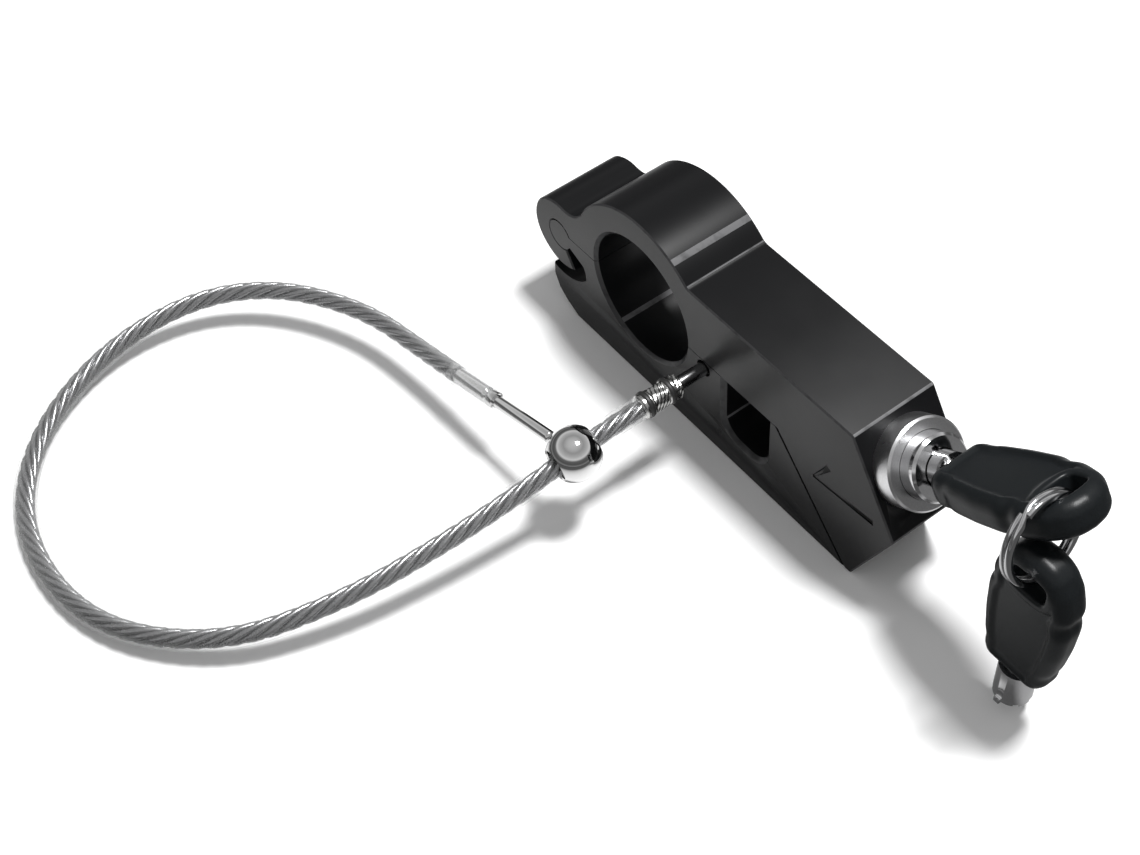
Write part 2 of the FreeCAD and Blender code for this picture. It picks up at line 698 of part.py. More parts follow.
def make_latch_plate():
    """Side latch: a plate with a window for the crank pin and a narrow tip through the barrel."""
    body = new_body("latch_plate")
    wide, narrow = "latch_width / 2", "latch_tip_width / 2"
    shoulder, back = "latch_shoulder_y", "-latch_back_y"
    tip = "barrel_radius - latch_clearance"
    sketch = new_sketch(body, "XY_Plane", lift="-latch_height")
    plate = [("-" + wide, back), (wide, back), (wide, shoulder), (narrow, shoulder), (narrow, tip),
             ("-" + narrow, tip), ("-" + narrow, shoulder), ("-" + wide, shoulder)]
    pad(body, draw_outline(sketch, plate), "latch_thickness")
    sketch = new_sketch(body, "XY_Plane", lift="-latch_height")
    left = "-crank_offset - crank_radius - 0.2"
    right = "crank_offset + crank_radius + 0.2"
    low = "crank_offset * sin(225 deg) - crank_radius - latch_clearance"
    high = "crank_offset * sin(225 deg) + crank_radius + latch_clearance"
    pocket(body, draw_outline(sketch, [(left, low), (right, low), (right, high), (left, high)]))
    return place_on_lock_axis(body)


def make_bolt():
    """Bolt: a disc that closes the barrel's back and a hardened rod towards the jaw."""
    tip = "-(" + SEAM_REACH + " - bolt_tip_setback)"
    profile = [("0", "-barrel_back"), ("bolt_disc_radius", "-barrel_back"),
               ("bolt_disc_radius", "-barrel_back - bolt_disc_thickness"),
               ("bolt_radius", "-barrel_back - bolt_disc_thickness"), ("bolt_radius", tip + " + 0.6"),
               ("bolt_radius - 0.6", tip), ("0", tip)]
    return place_on_lock_axis(turn("locking_bolt", profile))


def make_return_spring():
    """The spring that pushes the barrel out again, between the bolt's disc and the housing floor."""
    top = -number("barrel_back + bolt_disc_thickness")
    floor = -number("housing_depth - housing_floor")
    coil = coil_spring(number("spring_radius"), number("spring_wire / 2"), floor, top, number("spring_turns"))
    solid_node("return_spring", coil, lock_axis=True)


def make_bolt_bush():
    """Hardened bush in the jaw's slanted face that takes the bolt."""
    radius = number("bolt_radius + bolt_clearance")
    wall = number("bush_wall")
    mouth = -number(SEAM_REACH + " + bush_setback")
    floor = -number(SEAM_REACH + " + bush_length")
    profile = [(radius, mouth), (radius + wall, mouth), (radius + wall, floor), (radius, floor)]
    corners = [Vector(across, 0, up) for across, up in profile + profile[:1]]
    bush = Part.Face(Part.makePolygon(corners)).revolve(Vector(), Vector(0, 0, 1), 360)
    return solid_node("bolt_bush", bush, lock_axis=True)


def make_grub_screw():
    """Socket grub screw from the rear side face; its end bites into the housing's flat."""
    length = number("body_width / 2 - housing_radius - grub_setback + grub_bite")
    front = number("housing_radius - grub_bite")
    screw = Part.makeCylinder(number("grub_radius"), length, Vector(0, front, 0), Vector(0, 1, 0))
    socket = hexagon(number("grub_socket_radius"), number("grub_socket_depth"))
    socket.rotate(Vector(), Vector(1, 0, 0), 90)
    socket.translate(Vector(0, front + length, 0))
    node = solid_node("housing_grub_screw", screw.cut(socket))
    bind(node, Placement__Base__x=GRUB_X, Placement__Base__z=GRUB_Z)


def hexagon(radius, depth):
    """A hexagonal bar standing on Z = 0."""
    corners = [Vector(radius * math.cos(i * math.pi / 3), radius * math.sin(i * math.pi / 3), 0)
               for i in range(7)]
    return Part.Face(Part.makePolygon(corners)).extrude(Vector(0, 0, depth))


# ------------------------------------------------------------------------------ keys and ring

def make_key_tube(label):
    """Key barrel: a tube with seven end notches, a tab on its side and a root inside the head."""
    outer, inner = number("key_tube_outer"), number("key_tube_inner")
    length, root = number("key_tube_length"), number("key_tube_root")
    tube = Part.makeCylinder(outer, length, Vector(0, 0, -length))
    tube = tube.cut(Part.makeCylinder(inner, length - 1.5, Vector(0, 0, -length)))
    tube = tube.fuse(Part.makeCylinder(number("key_root_radius"), root))
    tab, proud, tall = number("key_tab_width"), number("key_tab_height"), number("key_tab_length")
    sunk = (outer - inner) / 2
    lug = Part.makeBox(proud + sunk, tab, tall, Vector(-outer - proud, -tab / 2, number("key_tab_setback") - length))
    tube = tube.fuse(lug)
    notch = Part.makeCylinder(number("pin_radius") + 0.12, 1.0,
                              Vector(number("pin_circle_radius"), 0, -length - 0.01))
    for i, copy in enumerate(pin_ring(notch).Solids):
        copy.translate(Vector(0, 0, -0.55 + 0.15 * (i % 3)))
        tube = tube.cut(copy)
    return solid_node(label, tube.removeSplitter())


def head_outline(inset):
    """Corners of the head's outline, drawn in from its edge by a formula."""
    half, tall = "head_half_width", "head_length"
    right = [("head_neck_half_width", "0", inset), (half + " * 0.88", tall + " * 0.2", "0"),
             (half + " * 0.97", tall + " * 0.4", "0"), (half, tall + " * 0.6", "0"),
             (half + " * 0.94", tall + " * 0.78", "0"), (half + " * 0.74", tall + " * 0.91", "-(%s)" % inset),
             (half + " * 0.35", tall, "-(%s)" % inset)]
    right = [("%s - (%s)" % (across, inset), "%s + %s" % (up, lift)) for across, up, lift in right]
    return right + [("-(%s)" % across, up) for across, up in reversed(right)]


def make_key_head(label):
    """Moulded head: a rounded blade with a panel sunk in each face and a slot for the ring."""
    body = new_body(label)
    pad(body, draw_outline(new_sketch(body, "YZ_Plane"), head_outline("0")), "head_thickness")
    across = ["Edge%d" % i for i, edge in enumerate(body.Shape.Edges, start=1)
              if abs(edge.Vertexes[0].X - edge.Vertexes[-1].X) > 1]
    dress(body, "Fillet", across, "head_corner")
    flat = number("head_thickness / 2")
    rim = ["Edge%d" % i for i, edge in enumerate(body.Shape.Edges, start=1)
           if all(abs(abs(p.x) - flat) < 1e-4 for p in edge.discretize(3))]
    dress(body, "Chamfer", rim, "head_break")
    for turned in (False, True):
        side = "-" if turned else ""
        panel = new_sketch(body, "YZ_Plane", lift=side + "(head_thickness / 2 - panel_depth)")
        draw_outline(panel, head_outline("panel_border"))
        pocket(body, panel, "head_thickness", symmetric=False, backwards=not turned)
    low, high = "-ring_hole_length / 2", "ring_hole_length / 2"
    floor = "ring_hole_height - ring_hole_width / 2"
    roof = "ring_hole_height + ring_hole_width / 2"
    slot = [(low, floor), (high, floor), (high, roof), (low, roof)]
    pocket(body, draw_outline(new_sketch(body, "YZ_Plane"), slot), "2 * head_thickness")
    root = new_sketch(body, "XY_Plane")
    draw_circle(root, "0", "0", "key_root_radius")
    pocket(body, root, "key_tube_root", symmetric=False, backwards=True)
    return body


def make_split_ring():
    """Split ring: two turns of wire as one ring, hung from the slot in the key's head."""
    inner = "ring_outer_radius - ring_wire_width"
    low, high = "-ring_wire_height / 2", "ring_wire_height / 2"
    soft = "ring_wire_width * 0.25"
    profile = [(inner + " + " + soft, low), ("ring_outer_radius - " + soft, low),
               ("ring_outer_radius", low + " + " + soft), ("ring_outer_radius", high + " - " + soft),
               ("ring_outer_radius - " + soft, high), (inner + " + " + soft, high),
               (inner, high + " - " + soft), (inner, low + " + " + soft)]
    return turn("split_ring", profile)


def place_keys_and_ring():
    """Key in the lock, ring through the head's slot, spare key hanging from the ring's bottom."""
    for label, maker in (("key_tube", make_key_tube), ("key_head", make_key_head)):
        place_on_lock_axis(maker(label), "key_standoff")
    ring = make_split_ring()
    angle, lean = math.radians(number("lock_angle")), math.radians(number("ring_lean"))
    out = number("key_standoff + ring_hole_height")
    half_hole, half_wide = number("ring_hole_length / 2"), number("head_half_width")
    strip = -(half_hole + half_wide) / 2
    inside = number("ring_outer_radius - ring_wire_width")
    half_strip = (half_wide - half_hole) / 2
    top = number("head_thickness / 2 + ring_gap") / math.cos(angle - lean)
    drop = math.sqrt(inside ** 2 - half_strip ** 2) - top
    centre = Vector(number(LOCK_X) + out * math.cos(angle) + drop * math.sin(lean), strip,
                    number(LOCK_Z) + out * math.sin(angle) - drop * math.cos(lean))
    ring.Placement = FreeCAD.Placement(centre, FreeCAD.Rotation(Vector(0, 1, 0), 90 - number("ring_lean")))
    wire = (inside + number("ring_outer_radius")) / 2
    low = centre + Vector(wire * math.sin(lean), 0, -wire * math.cos(lean))
    hole_top = number("ring_hole_height + ring_hole_width / 2")
    half_thick = number("head_thickness / 2")
    rest = math.sqrt(inside ** 2 - half_thick ** 2) * math.cos(lean)
    rest -= number("ring_wire_height / 2") * math.sin(lean)
    hang = centre.z - rest + number("ring_gap") - hole_top
    for label, maker in (("spare_key_tube", make_key_tube), ("spare_key_head", make_key_head)):
        spare = maker(label)
        spare.Placement = FreeCAD.Placement(Vector(low.x, low.y, hang), FreeCAD.Rotation(Vector(0, 0, 1), 90))
    print("ring centre", centre, "ring bottom wire", low, "spare hangs at", hang)


# ---------------------------------------------------------------------------- wire rope noose

def rope_path():
    """The route as straight runs joined by tangent arcs, as large as the runs allow."""
    points = [Vector(*p) for p in ROUTE]
    edges = []
    here = points[0]
    for i in range(1, len(points) - 1):
        before = (points[i - 1] - points[i]).normalize()
        after = (points[i + 1] - points[i]).normalize()
        half_turn = (math.pi - before.getAngle(after)) / 2
        shorter = min(points[i].distanceToPoint(points[i - 1]), points[i].distanceToPoint(points[i + 1]))
        cut = RUN_SHARE * shorter
        radius = cut / math.tan(half_turn)
        start, end = points[i] + before * cut, points[i] + after * cut
        middle_way = (before + after).normalize()
        middle = points[i] + middle_way * (radius / math.cos(half_turn) - radius)
        edges.append(Part.LineSegment(here, start).toShape())
        edges.append(Part.Arc(start, middle, end).toShape())
        here = end
        print("rope point %2d: turn %5.1f deg, radius %6.1f mm" % (i, math.degrees(2 * half_turn), radius))
    edges.append(Part.LineSegment(here, points[-1]).toShape())
    return Part.Wire(edges)


def sweep_section(path, outer, inner=0.0):
    """A round or hollow round section carried along the rope's path."""
    start = path.Edges[0].Vertexes[0].Point
    along = path.Edges[0].Vertexes[-1].Point - start
    solids = [path.makePipe(Part.Face(Part.Wire(Part.makeCircle(radius, start, along))))
              for radius in (outer, inner) if radius]
    solid = solids[0].cut(solids[1]) if inner else solids[0]
    area = math.pi * (outer ** 2 - inner ** 2)
    print("rope section volume / (area x length): %.4f" % (solid.Volume / (area * path.Length)))
    return solid


def make_rope():
    """The wire rope, its clear sleeve, and both ends' crimps."""
    path = rope_path()
    print("rope length %.1f mm" % path.Length)
    rope, sleeve = number("rope_radius"), number("sleeve_radius")
    solid_node("wire_rope", sweep_section(path, rope))
    solid_node("rope_sleeve", sweep_section(path, sleeve, rope))
    make_clamp_end()
    make_ball_end()


def make_clamp_end():
    """Stud screwed into the jaw, crimp on the rope's end and the two black rings in its grooves."""
    rope_start = Vector(*ROUTE[0])
    back = Vector(0, 1, 0)
    crimp_length = number("crimp_length")
    crimp = Part.makeCylinder(number("crimp_radius"), crimp_length, rope_start, back)
    rings = []
    wide, deep = number("crimp_ring_width"), number("crimp_groove")
    for share in (0.12, 0.66):
        place = rope_start + back * (crimp_length * share)
        band = Part.makeCylinder(number("crimp_radius"), wide, place, back)
        band = band.cut(Part.makeCylinder(number("crimp_radius") - deep, wide, place, back))
        crimp = crimp.cut(band)
        rings.append(band)
    solid_node("stud_crimp", crimp)
    solid_node("crimp_rings", Part.makeCompound(rings))
    root = -number("body_width / 2") + number("stud_inside")
    stud_end = rope_start.y + crimp_length
    stud = Part.makeCylinder(number("stud_radius"), root - stud_end,
                             Vector(rope_start.x, stud_end, rope_start.z), back)
    solid_node("rope_stud", stud)


def make_ball_end():
    """Crimp on the rope's free end, clear cuff over it, shank, and the ball that slides on the rope."""
    end = Vector(*ROUTE[-1])
    run_start, run_end = Vector(*ROUTE[BALL_RUN]), Vector(*ROUTE[BALL_RUN + 1])
    ball_centre = (run_start + run_end) * 0.5
    forward = (ball_centre - end).normalize()
    crimp_length = number("end_crimp_length")
    crimp_radius = number("end_crimp_radius")
    crimp = Part.makeCylinder(crimp_radius, crimp_length, end, forward)
    solid_node("end_crimp", crimp)
    cuff_length = number("cuff_length")
    cuff = Part.makeCylinder(number("sleeve_radius"), cuff_length, end, forward)
    bore = Part.makeCylinder(crimp_radius + number("cuff_gap"), cuff_length, end, forward)
    solid_node("sleeve_cuff", cuff.cut(bore))
    shank_start = end + forward * crimp_length
    reach = ball_centre.distanceToPoint(shank_start)
    socket_floor = number("ball_radius - shank_socket")
    shank = Part.makeCylinder(number("shank_radius"), reach - socket_floor, shank_start, forward)
    solid_node("ball_shank", shank)
    ball = Part.makeSphere(number("ball_radius"), ball_centre)
    through = (run_end - run_start).normalize()
    reach = number("ball_radius") * 2
    ball = ball.cut(Part.makeCylinder(number("ball_bore_radius"), 2 * reach,
                                      ball_centre - through * reach, through))
    ball = ball.cut(Part.makeCylinder(number("shank_radius"), reach, ball_centre - forward * socket_floor,
                                      forward * -1))
    solid_node("noose_ball", ball)
    print("ball centre", ball_centre, "bore along", through, "shank along", forward)


# -------------------------------------------------------------------------------------- build

def check_document():
    """Stop if any object failed or any node has no valid solid."""
    doc.recompute()
    for thing in doc.Objects:
        if {"Invalid", "Error"} & set(thing.State):
            raise RuntimeError("%s is %s" % (thing.Label, thing.State))
    for node in nodes:
        if node.Shape.isNull() or not node.Shape.isValid() or not node.Shape.Solids:
            raise RuntimeError(node.Label + " has no valid solid")


def write_parts():
    """Write each node to its own STEP file."""
    os.makedirs("parts", exist_ok=True)
    for node in nodes:
        node.Shape.exportStep("parts/%s.step" % node.Label)
        print("%-20s %9.1f mm3, %d solid(s)" % (node.Label, node.Shape.Volume, len(node.Shape.Solids)))


for make_piece in (make_upper_body, make_lower_jaw, make_bolt_bush, make_lock_housing, make_grub_screw,
                   make_core_barrel, make_stator, make_rotor, make_shaft_clip, make_pins,
                   make_stator_pin, make_latch_plate, make_bolt, make_return_spring,
                   place_keys_and_ring, make_rope):
    make_piece()
check_document()
write_parts()
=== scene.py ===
"""Looks of a handlebar grip and brake lever lock with a wire rope noose.

Lengths are in metres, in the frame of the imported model: the origin is the centre of the grip bore, +X runs
towards the key, +Y along the bore and +Z up. Shapes are surfaces over a grid, or a profile along a path.
"""
import json
import math

import bmesh
import bpy
import numpy as np
from mathutils import Matrix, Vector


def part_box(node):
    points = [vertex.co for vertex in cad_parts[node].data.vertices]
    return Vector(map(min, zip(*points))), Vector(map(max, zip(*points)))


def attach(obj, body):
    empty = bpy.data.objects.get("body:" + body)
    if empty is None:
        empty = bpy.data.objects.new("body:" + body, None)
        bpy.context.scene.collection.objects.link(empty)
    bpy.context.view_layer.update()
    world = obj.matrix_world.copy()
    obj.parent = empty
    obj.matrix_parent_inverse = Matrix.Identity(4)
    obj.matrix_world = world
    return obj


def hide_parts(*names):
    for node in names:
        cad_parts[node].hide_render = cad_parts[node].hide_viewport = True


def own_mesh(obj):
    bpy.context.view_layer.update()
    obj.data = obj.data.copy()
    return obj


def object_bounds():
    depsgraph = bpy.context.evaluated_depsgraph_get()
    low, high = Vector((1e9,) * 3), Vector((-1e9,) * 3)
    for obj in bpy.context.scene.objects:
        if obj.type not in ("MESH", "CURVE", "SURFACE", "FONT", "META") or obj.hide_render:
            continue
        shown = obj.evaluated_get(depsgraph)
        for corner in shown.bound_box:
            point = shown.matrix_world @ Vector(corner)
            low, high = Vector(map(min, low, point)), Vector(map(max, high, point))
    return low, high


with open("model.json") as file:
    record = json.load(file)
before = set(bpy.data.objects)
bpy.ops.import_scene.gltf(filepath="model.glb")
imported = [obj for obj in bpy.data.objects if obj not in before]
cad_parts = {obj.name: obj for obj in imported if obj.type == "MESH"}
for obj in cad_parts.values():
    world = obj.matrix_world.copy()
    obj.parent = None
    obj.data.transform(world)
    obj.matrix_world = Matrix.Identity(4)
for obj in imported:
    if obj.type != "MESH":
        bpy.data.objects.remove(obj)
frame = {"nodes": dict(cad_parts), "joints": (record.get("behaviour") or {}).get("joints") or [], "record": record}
cad_low, cad_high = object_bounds()

bl_info = {
    "name": "Grip lock looks",
    "version": (1, 0, 0),
    "blender": (4, 5, 0),
    "location": "View3D > Sidebar > Grip lock",
    "description": "Finishes, wire rope, keys and stage for a handlebar grip lock",
    "category": "Add Mesh",
}

MM = 0.001
JOINTS = {joint["name"]: joint for joint in frame["joints"]}
FLOOR = cad_low.z
SMOOTH_LIMIT = 24.0         # faces that meet at more degrees than this keep a sharp edge

# Key heads: lengths in mm, with the foot of the head at 0.
HEAD_LENGTH = 42.0
HEAD_HALF_WIDTH = 10.8
HEAD_HALF_THICK = 4.5
SLOT_HEIGHT = 34.5
SLOT_HALF_WIDTH, SLOT_HALF_HEIGHT = 4.5, 3.2
SLOT_ROUND = 0.9
PANEL_SLOPE = 1.5
HEAD_STANDOFF = 0.0145      # from the lock's face to the foot of the head, in metres

# Split ring, in metres: middle of the wire, and half the wire's width and half one turn's height.
RING_RADIUS = 0.0101
RING_HALF_WIDTH, RING_HALF_HEIGHT = 0.00088, 0.00065

# Shares of the rope's radius, and radii of what is round it, in metres.
STRAND_SHARE, CORE_SHARE = 0.345, 0.36
SLEEVE_GAP = 0.00006
CUFF_OUTSIDE, CUFF_INSIDE = 0.00292, 0.00234
CRIMP_RADIUS = 0.0032
BAND_RADIUS, BAND_HALF_HEIGHT, BAND_HALF_LENGTH = 0.00305, 0.00048, 0.00075

# Stage, in metres and millimetres of lens.
CAMERA_PLACE = (0.2428, -0.1929, 0.3286)
CAMERA_LENS = 56.7
SOFT_BOX_PLACE = (0.16, 0.30, 1.30)
SOFT_BOX_SIZE = 0.26
FLOOR_HALF = 3.0
FLOOR_DROP = 0.00002        # the floor lies this far under the base, so that the two never share a plane
MIRROR_FADE = (0.05, 0.17)  # in glossy rays the floor's colour is painted dark between these distances from the origin, a painted dark reflection

# The rope's route: corner points from the crimp at the clamp to the crimp at the ball's shank.
ROUTE = np.array([
    (24.7, -32.0, -3.8), (24.7, -42.5, -3.8), (23.4, -60.0, -8.6), (21.3, -84.5, -13.4),
    (16.8, -113.5, -18.0), (6.0, -142.0, -22.3), (-20.5, -163.0, -25.4), (-55.0, -164.3, -26.75),
    (-80.5, -149.5, -26.75), (-94.3, -123.0, -24.4), (-93.5, -95.0, -20.6), (-80.5, -74.2, -18.2),
    (-57.0, -60.2, -17.4), (-32.7, -56.5, -16.3), (-19.5, -55.3, -14.0),
]) * MM


# ------------------------------------------------------------------------------- sizes and colours

def length(name, default, about):
    """A length that a user may change."""
    return bpy.props.FloatProperty(name=name, default=default, description=about, unit="LENGTH", precision=5)


def colour(name, default, about):
    """A colour that a user may change."""
    return bpy.props.FloatVectorProperty(name=name, default=default, description=about, subtype="COLOR",
                                         size=3, min=0.0, max=1.0)


class GripLockRope(bpy.types.PropertyGroup):
    """Sizes of the wire rope and what is on it."""
    strands: bpy.props.IntProperty(name="Strands", default=6, min=3, max=12,
                                   description="Outer strands laid round the rope's core")
    lay: length("Lay length", 0.028, "Distance along the rope in which a strand goes round once")
    radius: length("Rope radius", 0.0024, "Outer radius of the laid strands")
    sleeve: length("Sleeve radius", 0.003, "Outer radius of the clear sleeve")
    ball: length("Ball radius", 0.007, "Radius of the steel ball")
    bore: length("Ball bore radius", 0.0040, "Radius of the hole that the rope runs through")
    tilt: bpy.props.FloatProperty(name="Ball tilt", default=math.radians(8.0), subtype="ANGLE",
                                  description="How far the ball is tipped on the rope")


class GripLockKeys(bpy.types.PropertyGroup):
    """Sizes of the key heads and the split ring."""
    edge_round: length("Edge round", 0.0036, "Radius of the moulded head's outer edge")
    panel_depth: length("Panel depth", 0.0009, "How far the panels are sunk in the head's faces")
    panel_border: length("Panel border", 0.0026, "Width of the raised border round a panel")
    wire_gap: length("Wire gap", 0.00008, "Gap between the ring's two turns")


class GripLockFinish(bpy.types.PropertyGroup):
    """Colours of the finishes."""
    anodised: colour("Anodised black", (0.0050, 0.0051, 0.0056), "Satin black anodised aluminium")
    # The colour painted on the chamfers as a thin edge highlight, broken up by noise.
    edge_highlight: colour("Edge highlight", (0.16, 0.16, 0.165), "Lighter colour painted on the chamfers as a thin edge highlight")
    chrome: colour("Chrome", (0.78, 0.78, 0.79), "Bright nickel and chrome plate")
    strand: colour("Strand steel", (0.46, 0.46, 0.47), "Galvanised strand wire")
    plastic: colour("Head plastic", (0.0045, 0.0055, 0.0062), "Moulded black key heads")
    brass: colour("Brass", (0.60, 0.44, 0.20), "Turned brass lock works")


class GripLockStage(bpy.types.PropertyGroup):
    """Camera and light."""
    azimuth: bpy.props.FloatProperty(name="Azimuth", default=math.radians(57.16), subtype="ANGLE",
                                     description="Turn of the camera round the lock")
    elevation: bpy.props.FloatProperty(name="Elevation", default=math.radians(51.26), subtype="ANGLE",
                                       description="Camera's angle above the horizon")
    roll: bpy.props.FloatProperty(name="Roll", default=math.radians(-5.28), subtype="ANGLE",
                                  description="Camera's turn about its own axis")
    key_power: bpy.props.FloatProperty(name="Key light", default=24.0, min=0.0, subtype="POWER",
                                       description="Power of the overhead soft box")
    sky: bpy.props.FloatProperty(name="Sky", default=0.62, min=0.0,
                                 description="Strength of the room's light")


GROUPS = {"grip_lock_rope": GripLockRope, "grip_lock_keys": GripLockKeys,
          "grip_lock_finish": GripLockFinish, "grip_lock_stage": GripLockStage}


# -------------------------------------------------------------------------------- mesh from numpy

def grid_faces(rows, columns, wrap_rows=False, wrap_columns=False):
    """Quads of a grid of rows x columns points, each joined to its next row and next column."""
    last_row = rows if wrap_rows else rows - 1
    last_column = columns if wrap_columns else columns - 1
    i, j = np.meshgrid(np.arange(last_row), np.arange(last_column), indexing="ij")
    i_next, j_next = (i + 1) % rows, (j + 1) % columns
    corners = [i * columns + j, i_next * columns + j, i_next * columns + j_next, i * columns + j_next]
    return np.stack([c.ravel() for c in corners], axis=1)


def cap_faces(ring, pole):
    """Triangles from a ring of points to one pole point."""
    return np.stack([ring, np.roll(ring, -1), np.full(len(ring), pole)], axis=1)


def mesh_piece(name, points, faces, crease_deg=32.0):
    """An object at the origin from points and lists of faces, outward, smooth but for sharp creases."""
    mesh = bpy.data.meshes.new(name)
    mesh.from_pydata(points.reshape(-1, 3).tolist(), [], [f.tolist() for f in faces])
    form = bmesh.new()
    form.from_mesh(mesh)
    bmesh.ops.recalc_face_normals(form, faces=form.faces)
    form.to_mesh(mesh)
    form.free()
    mesh.shade_smooth()
    mesh.set_sharp_from_angle(angle=math.radians(crease_deg))
    piece = bpy.data.objects.new(name, mesh)
    bpy.context.scene.collection.objects.link(piece)
    return piece


def surface(name, points, wrap_rows=False, wrap_columns=True, cap=False, crease_deg=32.0):
    """A piece from a grid of points [row, column, xyz], with each open end closed to its middle."""
    rows, columns = points.shape[:2]
    faces = list(grid_faces(rows, columns, wrap_rows, wrap_columns))
    flat = points.reshape(-1, 3)
    if cap:
        ends = [points[0].mean(axis=0), points[-1].mean(axis=0)]
        flat = np.vstack([flat, ends])
        first = np.arange(columns)
        faces += list(cap_faces(first[::-1], rows * columns))
        faces += list(cap_faces(first + (rows - 1) * columns, rows * columns + 1))
    return mesh_piece(name, flat, faces, crease_deg)


def rounded(profile, radius, steps=4):
    """Inner corners of a profile swapped for arcs: each is the curve (1-t)^2 a + 2t(1-t) p + t^2 b."""
    profile = np.asarray(profile, float)
    before, after = np.roll(profile, 1, axis=0), np.roll(profile, -1, axis=0)
    t = np.linspace(0, 1, steps)[:, None]
    out = []
    for a, p, b in zip(before, profile, after):
        reach_a = min(radius, 0.45 * np.linalg.norm(a - p)) / max(np.linalg.norm(a - p), 1e-9)
        reach_b = min(radius, 0.45 * np.linalg.norm(b - p)) / max(np.linalg.norm(b - p), 1e-9)
        start, end = p + (a - p) * reach_a, p + (b - p) * reach_b
        out.append((1 - t) ** 2 * start + 2 * t * (1 - t) * p + t ** 2 * end)
    out[0], out[-1] = profile[:1], profile[-1:]
    return np.vstack(out)


def lathe(profile, origin, axis, sides):
    """Grid of a profile (radius, height) turned about an axis: origin + h*axis + r*(cos q, sin q)."""
    profile = np.asarray(profile, float)
    across, beside, along = axes_about(axis)
    angle = np.linspace(0, 2 * math.pi, sides, endpoint=False)
    spoke = np.cos(angle)[:, None] * across + np.sin(angle)[:, None] * beside
    return np.asarray(origin) + profile[:, None, 1:2] * along + profile[:, None, 0:1] * spoke[None]


def axes_about(axis):
    """Three unit vectors, the last along the axis."""
    along = np.asarray(axis, float) / np.linalg.norm(axis)
    helper = np.array([0.0, 1.0, 0.0]) if abs(along[1]) < 0.9 else np.array([0.0, 0.0, 1.0])
    across = np.cross(helper, along)
    across /= np.linalg.norm(across)
    return across, np.cross(along, across), along


def path_frames(points):
    """Tangent, side and up along a path that is never upright: side = tangent x Z, up = side x tangent."""
    tangent = np.gradient(points, axis=0)
    tangent /= np.linalg.norm(tangent, axis=1, keepdims=True)
    side = np.cross(tangent, [0.0, 0.0, 1.0])
    side /= np.linalg.norm(side, axis=1, keepdims=True)
    return tangent, side, np.cross(side, tangent)


def tube(points, radius, sides):
    """Grid of a tube: point + radius*(cos q * side + sin q * up)."""
    _, side, up = path_frames(points)
    angle = np.linspace(0, 2 * math.pi, sides, endpoint=False)
    ring = np.cos(angle)[None, :, None] * side[:, None] + np.sin(angle)[None, :, None] * up[:, None]
    return points[:, None] + radius * ring


def smooth_step(x):
    """0 below 0, 1 above 1 and x*x*(3 - 2x) between."""
    x = np.clip(x, 0.0, 1.0)
    return x * x * (3 - 2 * x)


def joined(name, pieces):
    """One object made of several, so that like parts stay one piece."""
    bpy.ops.object.select_all(action="DESELECT")
    for piece in pieces:
        piece.select_set(True)
    bpy.context.view_layer.objects.active = pieces[0]
    bpy.ops.object.join()
    pieces[0].name = name
    return pieces[0]


# -------------------------------------------------------------------------------------- materials

def add_socket(group, name, out=False, kind="NodeSocketFloat", value=None):
    """A named input or output on a shader node group."""
    side = "OUTPUT" if out else "INPUT"
    made = group.interface.new_socket(name=name, in_out=side, socket_type=kind)
    if value is not None:
        made.default_value = value


def node(tree, kind, **values):
    """A shader node with its properties or input sockets set by name."""
    made = tree.nodes.new(kind)
    for name, value in values.items():
        label = name.replace("_", " ")
        if hasattr(made, name):
            setattr(made, name, value)
        elif label in made.inputs:
            made.inputs[label].default_value = value
        else:
            made.inputs[label.title()].default_value = value
    return made


def link(tree, start, end):
    """Join an output socket to an input socket."""
    tree.links.new(start, end)


def grain_group():
    """Fine grain drawn out along one direction: noise of the object's place times three scales."""
    tree = bpy.data.node_groups.new("Metal grain", "ShaderNodeTree")
    add_socket(tree, "Scale", kind="NodeSocketVector", value=(400.0, 6000.0, 4000.0))
    add_socket(tree, "Detail", value=4.0)
    add_socket(tree, "Grain", out=True)
    ends = node(tree, "NodeGroupInput"), node(tree, "NodeGroupOutput")
    place = node(tree, "ShaderNodeTexCoord")
    stretch = node(tree, "ShaderNodeMapping")
    noise = node(tree, "ShaderNodeTexNoise")
    noise.inputs["Scale"].default_value = 1.0
    link(tree, place.outputs["Object"], stretch.inputs["Vector"])
    link(tree, ends[0].outputs["Scale"], stretch.inputs["Scale"])
    link(tree, stretch.outputs["Vector"], noise.inputs["Vector"])
    link(tree, ends[0].outputs["Detail"], noise.inputs["Detail"])
    link(tree, noise.outputs["Fac"], ends[1].inputs["Grain"])
    return tree


